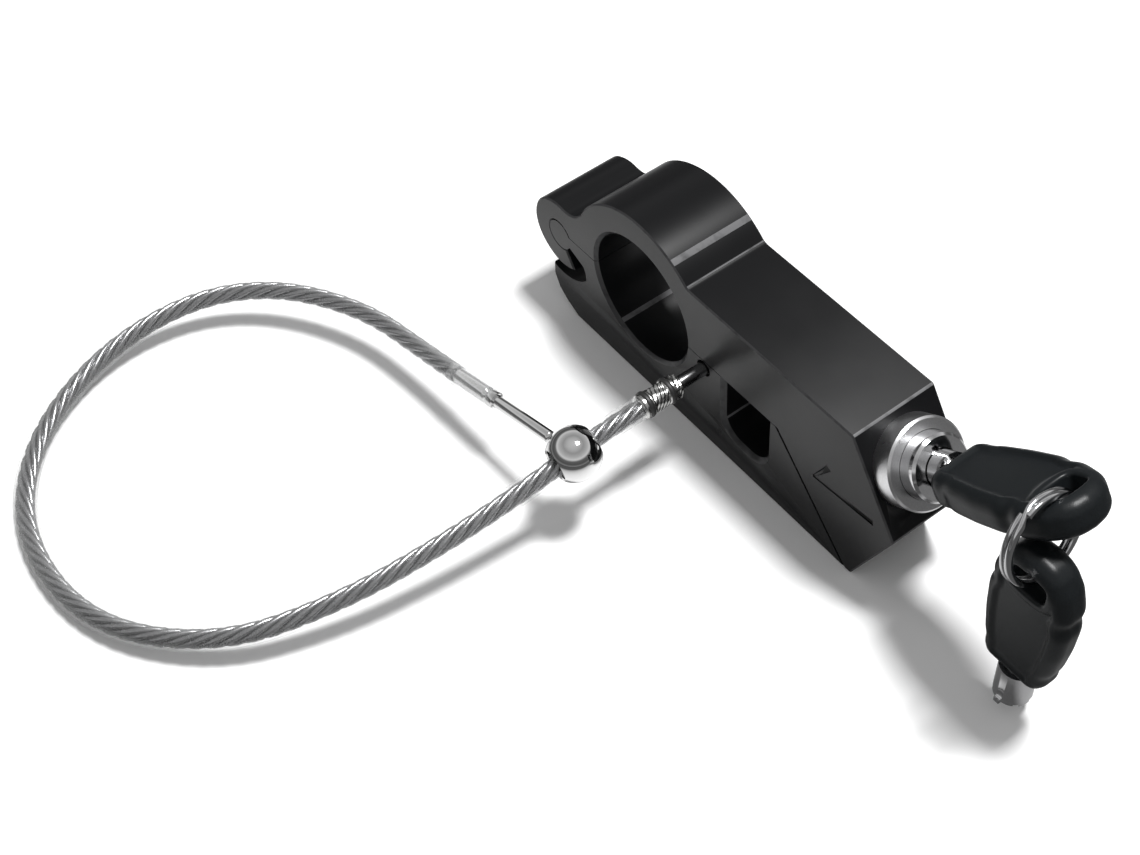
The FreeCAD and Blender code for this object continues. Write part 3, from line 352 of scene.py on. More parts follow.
def handling_group():
    """Soft smudges and dust that change the roughness: base + spread * (noise - 0.5)."""
    tree = bpy.data.node_groups.new("Handling marks", "ShaderNodeTree")
    add_socket(tree, "Roughness", value=0.3)
    add_socket(tree, "Spread", value=0.15)
    add_socket(tree, "Size", value=90.0)
    add_socket(tree, "Roughness", out=True)
    ends = node(tree, "NodeGroupInput"), node(tree, "NodeGroupOutput")
    place = node(tree, "ShaderNodeTexCoord")
    noise = node(tree, "ShaderNodeTexNoise")
    noise.inputs["Detail"].default_value = 5.0
    centre = node(tree, "ShaderNodeMath", operation="SUBTRACT")
    centre.inputs[1].default_value = 0.5
    swing = node(tree, "ShaderNodeMath", operation="MULTIPLY")
    total = node(tree, "ShaderNodeMath", operation="ADD", use_clamp=True)
    link(tree, place.outputs["Object"], noise.inputs["Vector"])
    link(tree, ends[0].outputs["Size"], noise.inputs["Scale"])
    link(tree, noise.outputs["Fac"], centre.inputs[0])
    link(tree, centre.outputs[0], swing.inputs[0])
    link(tree, ends[0].outputs["Spread"], swing.inputs[1])
    link(tree, swing.outputs[0], total.inputs[0])
    link(tree, ends[0].outputs["Roughness"], total.inputs[1])
    link(tree, total.outputs[0], ends[1].inputs["Roughness"])
    return tree


def edge_highlight_group():
    """Painted edge highlight: the mesh's edge attribute broken up by noise, as a mask from 0 to 1."""
    tree = bpy.data.node_groups.new("Painted edge highlight", "ShaderNodeTree")
    add_socket(tree, "Amount", value=0.6)
    add_socket(tree, "Mask", out=True)
    ends = node(tree, "NodeGroupInput"), node(tree, "NodeGroupOutput")
    marked = node(tree, "ShaderNodeAttribute", attribute_name="edge")
    place = node(tree, "ShaderNodeTexCoord")
    noise = node(tree, "ShaderNodeTexNoise")
    noise.inputs["Scale"].default_value = 320.0
    broken = node(tree, "ShaderNodeMapRange")
    for name, value in (("From Min", 0.05), ("From Max", 0.5)):
        broken.inputs[name].default_value = value
    product = node(tree, "ShaderNodeMath", operation="MULTIPLY")
    share = node(tree, "ShaderNodeMath", operation="MULTIPLY")
    link(tree, place.outputs["Object"], noise.inputs["Vector"])
    link(tree, noise.outputs["Fac"], broken.inputs["Value"])
    link(tree, marked.outputs["Fac"], product.inputs[0])
    link(tree, broken.outputs["Result"], product.inputs[1])
    link(tree, product.outputs[0], share.inputs[0])
    link(tree, ends[0].outputs["Amount"], share.inputs[1])
    link(tree, share.outputs[0], ends[1].inputs["Mask"])
    return tree


def new_material(name):
    """A material with an empty Principled shader, and its node tree."""
    material = bpy.data.materials.new(name)
    material.use_nodes = True
    tree = material.node_tree
    return material, tree, tree.nodes["Principled BSDF"]


def add_group(tree, group, **values):
    """An instance of a node group with its inputs set."""
    made = tree.nodes.new("ShaderNodeGroup")
    made.node_tree = bpy.data.node_groups[group]
    for name, value in values.items():
        made.inputs[name].default_value = value
    return made


def add_finish(tree, shader, grain_scale, grain_height, roughness, spread, size):
    """Grain as a bump and handling marks as roughness, on a Principled shader."""
    grain = add_group(tree, "Metal grain", Scale=grain_scale)
    bump = node(tree, "ShaderNodeBump")
    bump.inputs["Strength"].default_value = 1.0
    bump.inputs["Distance"].default_value = grain_height
    link(tree, grain.outputs["Grain"], bump.inputs["Height"])
    link(tree, bump.outputs["Normal"], shader.inputs["Normal"])
    marks = add_group(tree, "Handling marks", Roughness=roughness, Spread=spread, Size=size)
    link(tree, marks.outputs["Roughness"], shader.inputs["Roughness"])
    return grain


def mixed_colour(tree, first, second, mask):
    """first + (second - first) * mask, as a colour."""
    mix = node(tree, "ShaderNodeMix", data_type="RGBA")
    mix.inputs["A"].default_value = (*first, 1.0)
    mix.inputs["B"].default_value = (*second, 1.0)
    link(tree, mask, mix.inputs["Factor"])
    return mix.outputs["Result"]


def anodised_material(finish):
    """Satin black anodised extrusion: lengthwise grain, fine bead, and a lighter colour painted on the chamfers as
    a thin edge highlight.
    """
    material, tree, shader = new_material("anodised_black")
    shader.inputs["Specular IOR Level"].default_value = 0.16
    add_finish(tree, shader, (9000.0, 500.0, 9000.0), 0.000004, 0.30, 0.12, 60.0)
    # A lighter colour painted on the marked chamfers stands in for the thin highlight lines along the edges.
    edge_highlight_mask = add_group(tree, "Painted edge highlight", Amount=0.75)
    link(tree, mixed_colour(tree, finish.anodised, finish.edge_highlight, edge_highlight_mask.outputs["Mask"]),
         shader.inputs["Base Color"])
    return material


def metal_material(name, tint, roughness=0.12, spread=0.08, grain=(1500.0, 1500.0, 1500.0), height=0.000002,
                   dark=0.75):
    """Plated or turned metal: faint turning grain and stains that darken it here and there."""
    material, tree, shader = new_material(name)
    shader.inputs["Metallic"].default_value = 1.0
    pattern = add_finish(tree, shader, grain, height, roughness, spread, 240.0)
    dull = tuple(c * dark for c in tint)
    link(tree, mixed_colour(tree, dull, tint, pattern.outputs["Grain"]), shader.inputs["Base Color"])
    return material


def plastic_material(finish):
    """Moulded black plastic: fine spark-eroded grain and a soft shine from handling."""
    material, tree, shader = new_material("head_plastic")
    shader.inputs["Specular IOR Level"].default_value = 0.20
    grain = add_finish(tree, shader, (3200.0, 3200.0, 3200.0), 0.00002, 0.34, 0.16, 70.0)
    paler = tuple(c * 1.9 + 0.002 for c in finish.plastic)
    link(tree, mixed_colour(tree, finish.plastic, paler, grain.outputs["Grain"]), shader.inputs["Base Color"])
    return material


def rubber_material():
    """Black rubber rings with a dusty bloom."""
    material, tree, shader = new_material("ring_rubber")
    grain = add_finish(tree, shader, (2600.0, 2600.0, 2600.0), 0.00001, 0.5, 0.2, 300.0)
    link(tree, mixed_colour(tree, (0.006, 0.006, 0.006), (0.02, 0.02, 0.02), grain.outputs["Grain"]),
         shader.inputs["Base Color"])
    return material


def clear_material(name, body_alpha, edge_alpha):
    """Clear soft vinyl: almost unseen face on, milky at a glancing angle, with a wet shine."""
    material, tree, shader = new_material(name)
    shader.inputs["IOR"].default_value = 1.52
    shader.inputs["Specular IOR Level"].default_value = 0.7
    grain = add_finish(tree, shader, (700.0, 700.0, 700.0), 0.00001, 0.10, 0.10, 150.0)
    link(tree, mixed_colour(tree, (0.80, 0.81, 0.81), (0.92, 0.93, 0.93), grain.outputs["Grain"]),
         shader.inputs["Base Color"])
    facing = node(tree, "ShaderNodeLayerWeight")
    facing.inputs["Blend"].default_value = 0.35
    spread = node(tree, "ShaderNodeMapRange")
    ends = (("From Min", 0.15), ("From Max", 0.9), ("To Min", body_alpha), ("To Max", edge_alpha))
    for label, value in ends:
        spread.inputs[label].default_value = value
    link(tree, facing.outputs["Facing"], spread.inputs["Value"])
    link(tree, spread.outputs["Result"], shader.inputs["Alpha"])
    return material


class GRIPLOCK_OT_finishes(bpy.types.Operator):
    """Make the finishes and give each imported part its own"""
    bl_idname = "griplock.finishes"
    bl_label = "Finishes"

    def execute(self, context):
        finish = context.scene.grip_lock_finish
        grain_group()
        handling_group()
        edge_highlight_group()
        chrome, brass = tuple(finish.chrome), tuple(finish.brass)
        black = anodised_material(finish)
        plate = metal_material("chrome_plate", chrome, 0.10, 0.10, (2500.0, 2500.0, 2500.0), 0.0000015)
        metal_material("turned_plate", chrome, 0.30, 0.14, (2500.0, 2500.0, 2500.0), 0.0000015)
        turned = metal_material("turned_brass", brass, 0.24, 0.1)
        ground = metal_material("ground_steel", (0.56, 0.56, 0.57), 0.22, 0.12)
        wire = metal_material("spring_wire", (0.40, 0.40, 0.41), 0.3, 0.1)
        metal_material("strand_wire", tuple(finish.strand), 0.26, 0.2, (5200.0, 5200.0, 5200.0), 0.00003, 0.3)
        crimp = metal_material("pressed_crimp", (0.62, 0.62, 0.61), 0.24, 0.25, (1100.0, 1100.0, 1100.0),
                               0.00008, 0.55)
        polished = metal_material("polished_steel", (0.80, 0.80, 0.80), 0.05, 0.05, (900.0, 900.0, 900.0),
                                  0.0000008, 0.9)
        vinyl = clear_material("sleeve_vinyl", 0.03, 0.32)
        clear_material("cuff_vinyl", 0.04, 0.38)
        by_slot = {"black_anodised": black, "chrome_brass": plate, "brass": turned, "steel": ground,
                   "spring_steel": wire, "key_plastic": plastic_material(finish), "steel_rope": wire,
                   "clear_sleeve": vinyl, "black_rubber": rubber_material(), "crimp_metal": crimp,
                   "polished_ball": polished}
        for part in frame["record"]["subparts"]:
            shown = frame["nodes"][part["node"]]
            if not shown.material_slots:
                shown.data.materials.append(None)
            for place in shown.material_slots:
                place.material = by_slot[part["material_slot"]]
        return {"FINISHED"}


def settle(piece, material, body, slot_name, *replaced):
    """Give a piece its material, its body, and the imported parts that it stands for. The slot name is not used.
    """
    piece.data.materials.clear()
    piece.data.materials.append(bpy.data.materials[material])
    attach(piece, body)
    if replaced:
        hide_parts(*replaced)
    return piece


# --------------------------------------------------------------------------------------- the clamp

def merged_copy(name, part):
    """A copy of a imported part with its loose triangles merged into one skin."""
    mesh = frame["nodes"][part].data.copy()
    form = bmesh.new()
    form.from_mesh(mesh)
    bmesh.ops.remove_doubles(form, verts=form.verts, dist=2e-6)
    bmesh.ops.dissolve_limit(form, angle_limit=math.radians(0.05), verts=form.verts, edges=form.edges)
    form.to_mesh(mesh)
    form.free()
    piece = bpy.data.objects.new(name, mesh)
    bpy.context.scene.collection.objects.link(piece)
    return piece


def smooth(mesh):
    """Smooth shading, but for edges sharper than the limit."""
    mesh.shade_smooth()
    mesh.set_sharp_from_angle(angle=math.radians(SMOOTH_LIMIT))


def mark_edges(mesh):
    """Mark the chamfers that get the painted edge highlight, as a strength for each face.

    The rims lean between side and outline, and the key face's own chamfers point half way between it and the
    top or the nose. The second kind gets the full painted highlight, the rims a quarter of it.
    """
    normals = np.empty(len(mesh.polygons) * 3)
    mesh.polygons.foreach_get("normal", normals)
    normals = normals.reshape(-1, 3)
    lean = np.abs(normals[:, 1])
    marked = (lean > 0.3) & (lean < 0.95)
    key_face = np.array(JOINTS["key_turn"]["axis"])
    for neighbour in ((0, 0, 1), (1, 0, 0)):
        half_way = (key_face + neighbour) / np.linalg.norm(key_face + neighbour)
        marked |= normals @ half_way > 0.9995
    strength = np.where(marked & (lean < 0.3), 1.0, 0.25 * marked)
    edge = mesh.attributes.new("edge", "FLOAT", "FACE")
    edge.data.foreach_set("value", strength.astype(np.float32))


def arrow_cutter(front):
    """A shallow engraved arrow: a long bar and a short barb, each a strip of four corners extruded."""
    tip, tail = np.array([64.5, -6.4]) * MM, np.array([84.3, -3.9]) * MM
    barb = np.array([69.2, 1.2]) * MM
    half_width = 0.9 * MM
    ends = {"arrow_bar": tail, "arrow_barb": barb}
    return [strip_solid(name, tip, end, half_width, front) for name, end in ends.items()]


def strip_solid(name, start, end, half_width, front, depth=0.00022):
    """A flat bar in the XZ plane, sunk in the face: corners start/end +- half width, thin at the start."""
    along = (end - start) / np.linalg.norm(end - start)
    beside = np.array([-along[1], along[0]]) * half_width
    taper = 0.35
    corners = np.array([start - beside * taper, end - beside, end + beside, start + beside * taper])
    points = np.array([[(x, y, z) for x, z in corners] for y in (front - depth, front + depth)])
    return surface(name, points, cap=True, crease_deg=20.0)


def cut_away(piece, cutters):
    """Take the cutters out of the piece and keep only the result."""
    for cutter in cutters:
        change = piece.modifiers.new("cut", "BOOLEAN")
        change.object = cutter
        change.solver = "EXACT"
    depsgraph = bpy.context.evaluated_depsgraph_get()
    result = bpy.data.meshes.new_from_object(piece.evaluated_get(depsgraph))
    piece.modifiers.clear()
    piece.data = result
    for cutter in cutters:
        bpy.data.objects.remove(cutter)


class GRIPLOCK_OT_clamp(bpy.types.Operator):
    """Finish the two jaws: merged skins with marked chamfers, and the engraved arrow"""
    bl_idname = "griplock.clamp"
    bl_label = "Clamp jaws"

    def execute(self, context):
        for part, body in (("upper_body", "clamp"), ("lower_jaw", "jaw")):
            piece = merged_copy(part + "_skin", part)
            if part == "upper_body":
                cut_away(piece, arrow_cutter(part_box(part)[0].y))
            mark_edges(piece.data)
            smooth(piece.data)
            settle(piece, "anodised_black", body, "black_anodised", part)
        return {"FINISHED"}


class GRIPLOCK_OT_turnings(bpy.types.Operator):
    """Finish the plated turnings and the return spring: merged skins, smooth round their barrels"""
    bl_idname = "griplock.turnings"
    bl_label = "Plated turnings"

    def execute(self, context):
        bodies = {"lock_housing": "clamp", "core_barrel": "core", "key_tube": "key",
                  "spare_key_tube": "spare_key"}
        for part, body in bodies.items():
            piece = merged_copy(part + "_plated", part)
            smooth(piece.data)
            finish = "turned_plate" if part == "lock_housing" else "chrome_plate"
            settle(piece, finish, body, "chrome_brass", part)
        make_spring()
        return {"FINISHED"}


def make_spring():
    """Return spring in the housing's floor: a merged copy of the imported coil, shaded smooth, with a mesh of its
    own.
    """
    spring = merged_copy("return_spring_coil", "return_spring")
    settle(spring, "spring_wire", "clamp", "spring_steel", "return_spring")
    spring.data.shade_smooth()
    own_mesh(spring)


# ----------------------------------------------------------------------------------- keys and ring

def head_half_width(height):
    """Half the head's width at a height in mm, by straight lines between a few chosen places."""
    places = [0.0, 0.8, 3.0, 9.0, 16.0, 24.0, 31.0, 36.5, 40.0, 41.5, HEAD_LENGTH]
    widths = [5.6, 7.4, 8.6, 9.5, 10.4, HEAD_HALF_WIDTH, 10.4, 8.8, 6.1, 3.4, 0.0]
    return np.interp(height, places, widths)


def head_outline(count):
    """Closed outline (across, up) of the head in mm, evenly spaced.

    It runs across the foot, up one side and down the other. The widths are smoothed by a moving average, and
    two shallow dips are taken out of each side: depth * exp(-((up - dip) / 1.8)^2).
    """
    rise = np.linspace(0, 1, 260)
    up = HEAD_LENGTH * (0.5 - 0.5 * np.cos(math.pi * rise))
    half = head_half_width(up)
    kernel = np.hanning(23) / np.hanning(23).sum()
    half = np.convolve(np.pad(half, 11, mode="reflect", reflect_type="odd"), kernel, mode="valid")
    half = np.clip(half, 0, None)
    for dip, depth in ((6.0, 0.35), (27.5, 0.55)):
        half -= depth * np.exp(-((up - dip) / 1.8) ** 2)
    half[-1] = 0.0
    side = np.stack([half, up], axis=1)
    base = np.stack([np.linspace(-half[0], half[0], 24)[1:-1], np.zeros(22)], axis=1)
    loop = np.vstack([base, side, side[-2::-1] * [-1, 1]])
    step = np.linalg.norm(np.diff(np.vstack([loop, loop[:1]]), axis=0), axis=1)
    walked = np.concatenate([[0], np.cumsum(step)])
    wanted = np.linspace(0, walked[-1], count, endpoint=False)
    loop = np.vstack([loop, loop[:1]])
    return np.stack([np.interp(wanted, walked, loop[:, k]) for k in (0, 1)], axis=1)


def outline_distance(place, loop):
    """Shortest distance to a closed loop of straight runs: |p - a - (b - a) * clip(share, 0, 1)|."""
    run = np.roll(loop, -1, axis=0) - loop
    offset = place[:, :, None] - loop
    share = np.clip((offset * run).sum(axis=3) / (run ** 2).sum(axis=1), 0, 1)
    return np.linalg.norm(offset - share[..., None] * run, axis=3).min(axis=2)


def key_head_points(sizes, count=220, layers=46):
    """Grid (outline, section) of the head, a ring round its slot.

    A place is slot + (edge - slot) * t. Its height above the middle plane is the half thickness, rounded as
    a quarter circle at the outer edge and the slot, less a crowned panel sunk where it is far from both.
    """
    edge = head_outline(count)
    centre = np.array([0.0, SLOT_HEIGHT])
    ray = edge - centre
    bearing = np.arctan2(ray[:, 1], ray[:, 0])
    wide, tall = np.cos(bearing) / SLOT_HALF_WIDTH, np.sin(bearing) / SLOT_HALF_HEIGHT
    slot_reach = (np.abs(wide) ** 4 + np.abs(tall) ** 4) ** -0.25
    slot = centre + slot_reach[:, None] * np.stack([np.cos(bearing), np.sin(bearing)], axis=1)
    t = 0.5 - 0.5 * np.cos(np.linspace(0, math.pi, layers))
    place = slot[:, None] + (edge - slot)[:, None] * t[None, :, None]
    to_edge = outline_distance(place, edge)
    to_slot = np.linalg.norm(place - slot[:, None], axis=2)
    round_mm, depth, border = sizes.edge_round / MM, sizes.panel_depth / MM, sizes.panel_border / MM
    to_edge[:, -1] = 0.0
    inward = np.clip(to_edge / round_mm, 0, 1)
    half = HEAD_HALF_THICK - round_mm * (1 - np.sqrt(1 - (1 - inward) ** 2))
    lip = np.clip(to_slot / SLOT_ROUND, 0, 1)
    half -= SLOT_ROUND * (1 - np.sqrt(1 - (1 - lip) ** 2))
    sunk = smooth_step((to_edge - border) / PANEL_SLOPE) * smooth_step((to_slot - 1.6) / 1.6)
    crown = 0.35 * np.cos(np.clip(place[..., 0] / HEAD_HALF_WIDTH, -1, 1) * math.pi / 2)
    half -= depth * sunk * (1.2 - crown)
    top = np.concatenate([place, half[..., None]], axis=2)
    under = np.concatenate([place, -half[..., None]], axis=2)[:, ::-1]
    return np.concatenate([top, under], axis=1) * MM


def place_head(points, origin, width_axis, up_axis, thick_axis):
    """Points (across, up, thick) of a head stood at origin along three unit vectors."""
    axes = np.stack([width_axis, up_axis, thick_axis])
    return np.asarray(origin) + points @ axes


class GRIPLOCK_OT_keys(bpy.types.Operator):
    """Mould the two key heads"""
    bl_idname = "griplock.keys"
    bl_label = "Key heads"

    def execute(self, context):
        points = key_head_points(context.scene.grip_lock_keys)
        out = np.array(JOINTS["key_turn"]["axis"], float)
        out /= np.linalg.norm(out)
        across = np.array([0.0, 1.0, 0.0])
        lock = np.array(JOINTS["key_turn"]["pos_m"])
        placed = place_head(points, lock + out * HEAD_STANDOFF, across, out, np.cross(across, out))
        head = surface("key_head_moulding", placed, wrap_rows=True)
        settle(head, "head_plastic", "key", "key_plastic", "key_head")
        low, high = (np.array(corner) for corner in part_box("spare_key_head"))
        foot = (*((low + high) / 2)[:2], low[2])
        placed = place_head(points, foot, (-1.0, 0.0, 0.0), (0.0, 0.0, 1.0), (0.0, 1.0, 0.0))
        spare = surface("spare_head_moulding", placed, wrap_rows=True)
        settle(spare, "head_plastic", "spare_key", "key_plastic", "spare_key_head")
        return {"FINISHED"}


class GRIPLOCK_OT_ring(bpy.types.Operator):
    """Coil the split ring: two turns of flattened wire that step across beside each other"""
    bl_idname = "griplock.ring"
    bl_label = "Split ring"

    def execute(self, context):
        sizes = context.scene.grip_lock_keys
        joint = JOINTS["ring_spin"]
        across, beside, along = axes_about(joint["axis"])
        turn = np.linspace(0.02, 4 * math.pi - 0.02, 320)
        radial, axial = RING_HALF_WIDTH, RING_HALF_HEIGHT - sizes.wire_gap / 2
        offset = (axial + sizes.wire_gap / 2) * (2 * smooth_step((turn - 2 * math.pi + 0.28) / 0.56) - 1)
        start = math.radians(205)
        spoke = np.cos(turn + start)[:, None] * across + np.sin(turn + start)[:, None] * beside
        centre = np.array(joint["pos_m"]) + RING_RADIUS * spoke + offset[:, None] * along
        q = np.linspace(0, 2 * math.pi, 20, endpoint=False)
        square = 0.62
        wide = radial * np.sign(np.cos(q)) * np.abs(np.cos(q)) ** square
        tall = axial * np.sign(np.sin(q)) * np.abs(np.sin(q)) ** square
        points = centre[:, None] + wide[None, :, None] * spoke[:, None] + tall[None, :, None] * along
        settle(surface("split_ring_coil", points, cap=True), "chrome_plate", "ring", "steel", "split_ring")
        return {"FINISHED"}


# ------------------------------------------------------------------------------- wire rope and ball

def route_curve():
    """The route as a NURBS curve whose control points are the route's corners."""
    curve = bpy.data.curves.new("rope_line", "CURVE")
    curve.dimensions = "3D"
    curve.resolution_u = 24
    spline = curve.splines.new("NURBS")
    spline.points.add(len(ROUTE) - 1)
    for point, place in zip(spline.points, ROUTE):
        point.co = (*place, 1.0)
    spline.order_u = 3
    spline.use_endpoint_u = True
    line = bpy.data.objects.new("rope_line", curve)
    bpy.context.scene.collection.objects.link(line)
    return line


def rope_path(step=0.0007):
    """Places along the rope's NURBS line, evenly spaced by their distance along it."""
    line = route_curve()
    mesh = bpy.data.meshes.new_from_object(line)
    raw = np.empty(len(mesh.vertices) * 3)
    mesh.vertices.foreach_get("co", raw)
    raw = raw.reshape(-1, 3)
    bpy.data.objects.remove(line)
    bpy.data.meshes.remove(mesh)
    walked = np.concatenate([[0], np.cumsum(np.linalg.norm(np.diff(raw, axis=0), axis=1))])
    wanted = np.linspace(0, walked[-1], int(walked[-1] / step))
    return np.stack([np.interp(wanted, walked, raw[:, k]) for k in range(3)], axis=1), wanted


def strand_points(path, walked, sizes, number):
    """One outer strand: path + reach * (cos p * side + sin p * up).

    Here p = 2 pi (walked / lay + number / count).
    """
    _, side, up = path_frames(path)
    strand_radius = sizes.radius * STRAND_SHARE
    reach = sizes.radius - strand_radius
    p = 2 * math.pi * (walked / sizes.lay + number / sizes.strands)
    centre = path + reach * (np.cos(p)[:, None] * side + np.sin(p)[:, None] * up)
    return strand_tube(centre, strand_radius, walked)


def strand_tube(centre, radius, walked, sides=18, wires=6, wire_lay=0.011):
    """A strand's tube, raised between six grooves that run round it like wires.

    Its radius is radius * (1 - dip * |sin(3 (q - 2 pi walked / wire lay))|^3).
    """
    _, side, up = path_frames(centre)
    q = np.linspace(0, 2 * math.pi, sides, endpoint=False)
    twist = 2 * math.pi * walked / wire_lay
    groove = 1 - 0.16 * np.abs(np.sin(wires / 2 * (q[None] - twist[:, None]))) ** 3
    ring = np.cos(q)[None, :, None] * side[:, None] + np.sin(q)[None, :, None] * up[:, None]
    return centre[:, None] + radius * groove[..., None] * ring


class GRIPLOCK_OT_rope(bpy.types.Operator):
    """Lay the wire rope in its clear sleeve, along the rope's smooth line"""
    bl_idname = "griplock.rope"
    bl_label = "Wire rope"

    def execute(self, context):
        sizes = context.scene.grip_lock_rope
        path, walked = rope_path()
        strands = [surface("strand_%d" % i, strand_points(path, walked, sizes, i), cap=True, crease_deg=70)
                   for i in range(sizes.strands)]
        strands.append(surface("strand_core", tube(path, sizes.radius * CORE_SHARE, 10), cap=True,
                               crease_deg=70))
        rope = settle(joined("wire_rope_strands", strands), "strand_wire", "jaw", "steel_rope", "wire_rope")
        outer = tube(path, sizes.sleeve, 40)
        inner = tube(path, sizes.radius + SLEEVE_GAP, 40)
        wall = np.concatenate([outer, inner[::-1]])
        sleeve = surface("rope_sleeve_clear", wall, wrap_rows=True, crease_deg=60)
        settle(sleeve, "sleeve_vinyl", "jaw", "clear_sleeve", "rope_sleeve")
        fittings = [make_end_crimp(), make_cuff(), make_shank(sizes), make_ball(sizes)]
        make_clamp_crimp()
        return {"FINISHED"}


def ball_place():
    """The ball's centre, half way along its run of the route, and the run's direction."""
    start, end = ROUTE[1], ROUTE[2]
    return (start + end) / 2, (end - start) / np.linalg.norm(end - start)


def end_direction():
    """From the rope's free end to the ball's centre, as a unit vector, and the distance."""
    span = ball_place()[0] - ROUTE[-1]
    return span / np.linalg.norm(span), np.linalg.norm(span)


def make_end_crimp():
    """Polished crimp tube with a collar at its front: a turned profile."""
    along, _ = end_direction()
    profile = [(0.0001, -0.0006), (0.0017, -0.0006), (0.00215, 0.0004), (0.00215, 0.0118), (0.0017, 0.0121),
               (0.0017, 0.0128), (0.00225, 0.0131), (0.00225, 0.0154), (0.0001, 0.0154)]
    crimp = surface("end_crimp_turned", lathe(rounded(profile, 0.0003), ROUTE[-1], along, 48), cap=True)
    return settle(crimp, "polished_steel", "jaw", "crimp_metal", "end_crimp")


def make_cuff():
    """Clear sleeve end, crumpled over the crimp: radius * (1 + crush * waves) + crush * ripple.

    The waves run round it and along it, and crush = exp(-((s - 1.2 mm) / 2.2 mm)^2) keeps them at the sleeve.
    """
    along, _ = end_direction()
    across, beside, _ = axes_about(along)
    s = np.linspace(-0.0015, 0.0140, 90)[:, None]
    q = np.linspace(0, 2 * math.pi, 56, endpoint=False)[None]
    crush = np.exp(-((s - 0.0012) / 0.0022) ** 2)
    wave = 0.10 * np.sin(5 * q + s * 1500) * np.sin(s * 1900 + 1.3 * np.cos(q))
    wave = wave + 0.05 * np.sin(9 * q - s * 2300)
    outer = CUFF_OUTSIDE * (1 + crush * wave) + 0.00012 * np.sin(s * 3900) * crush
    inner = np.broadcast_to(CUFF_INSIDE, outer.shape)
    ring = np.cos(q)[..., None] * across + np.sin(q)[..., None] * beside
    rows = [ROUTE[-1] + s[..., None] * along + wall[..., None] * ring for wall in (outer, inner)]
    points = np.concatenate([rows[0], rows[1][::-1]])
    cuff = surface("sleeve_cuff_clear", points, wrap_rows=True, crease_deg=60)
    return settle(cuff, "cuff_vinyl", "jaw", "clear_sleeve", "sleeve_cuff")


def make_shank(sizes):
    """Shank from the crimp to the ball: a turned rod with a groove near the ball."""
    along, reach = end_direction()
    stop = reach - sizes.ball + 0.0018
    profile = [(0.0001, 0.0150), (0.00165, 0.0150), (0.00165, stop - 0.0036), (0.00145, stop - 0.0033),
               (0.00145, stop - 0.0028), (0.00165, stop - 0.0025), (0.00165, stop), (0.0001, stop)]
    shank = surface("ball_shank_turned", lathe(rounded(profile, 0.0002), ROUTE[-1], along, 40), cap=True)
    return settle(shank, "polished_steel", "jaw", "steel", "ball_shank")


def make_ball(sizes):
    """Steel ball tipped on the rope: a sphere's arc, broken lips and the bore, turned about the bore."""
    centre, along = ball_place()
    along = along + np.array([0.0, 0.0, 1.0]) * math.tan(sizes.tilt)
    lip = math.asin((sizes.bore + 0.0004) / sizes.ball)
    arc = np.linspace(lip, math.pi - lip, 60)
    outside = np.stack([sizes.ball * np.sin(arc), sizes.ball * np.cos(arc)], axis=1)
    half = outside[0, 1] - 0.0004
    inside = [(sizes.bore, -half), (sizes.bore, -half * 0.5), (sizes.bore, half * 0.5), (sizes.bore, half)]
    points = lathe(np.vstack([outside, inside]), centre, along, 96)
    ball = surface("noose_ball_polished", points, wrap_rows=True, crease_deg=40)
    return settle(ball, "polished_steel", "jaw", "polished_ball", "noose_ball")


def make_clamp_crimp():
    """Pressed crimp on the rope's first end: a tube with crushed facets, and two rubber rings round it.

    Its radius is radius * end taper * (1 - pressed * facets), where pressed is 1 along two stretches of it.
    """
    low, high = (np.array(c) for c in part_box("stud_crimp"))
    origin = np.array([(low[0] + high[0]) / 2, low[1], (low[2] + high[2]) / 2])
    along = np.array([0.0, 1.0, 0.0])
    across, beside, _ = axes_about(along)
    span = high[1] - low[1]
    s = np.linspace(0, span, 100)[:, None]
    q = np.linspace(0, 2 * math.pi, 72, endpoint=False)[None]
    share = s / span
    pressed = smooth_step((share - 0.24) / 0.04) * (1 - smooth_step((share - 0.60) / 0.04))
    pressed = pressed + smooth_step((share - 0.80) / 0.05)
    facet = 0.09 * np.abs(np.sin(2.5 * q + 0.4)) + 0.05 * np.sin(7 * q + share * 30) * np.sin(share * 40)
    ends = 1 - 0.16 * (1 - smooth_step(share / 0.05)) - 0.30 * smooth_step((share - 0.94) / 0.06)
    radius = CRIMP_RADIUS * ends * (1 - pressed * facet)
    ring = np.cos(q)[..., None] * across + np.sin(q)[..., None] * beside
    points = origin + s[..., None] * along + radius[..., None] * ring
    crimp = surface("stud_crimp_pressed", points, cap=True, crease_deg=45)
    settle(crimp, "pressed_crimp", "jaw", "crimp_metal", "stud_crimp")
    rings = []
    q = np.linspace(0, 2 * math.pi, 20, endpoint=False)
    for share in (0.16, 0.70):
        profile = np.stack([BAND_RADIUS + BAND_HALF_HEIGHT * np.cos(q),
                            share * span + BAND_HALF_LENGTH * np.sin(q)], axis=1)
        band = lathe(profile, origin, along, 56)
        rings.append(surface("ring_%.2f" % share, band, wrap_rows=True, crease_deg=70))
    settle(joined("crimp_rings_rubber", rings), "ring_rubber", "jaw", "black_rubber", "crimp_rings")


# -------------------------------------------------------------------------------------------- stage

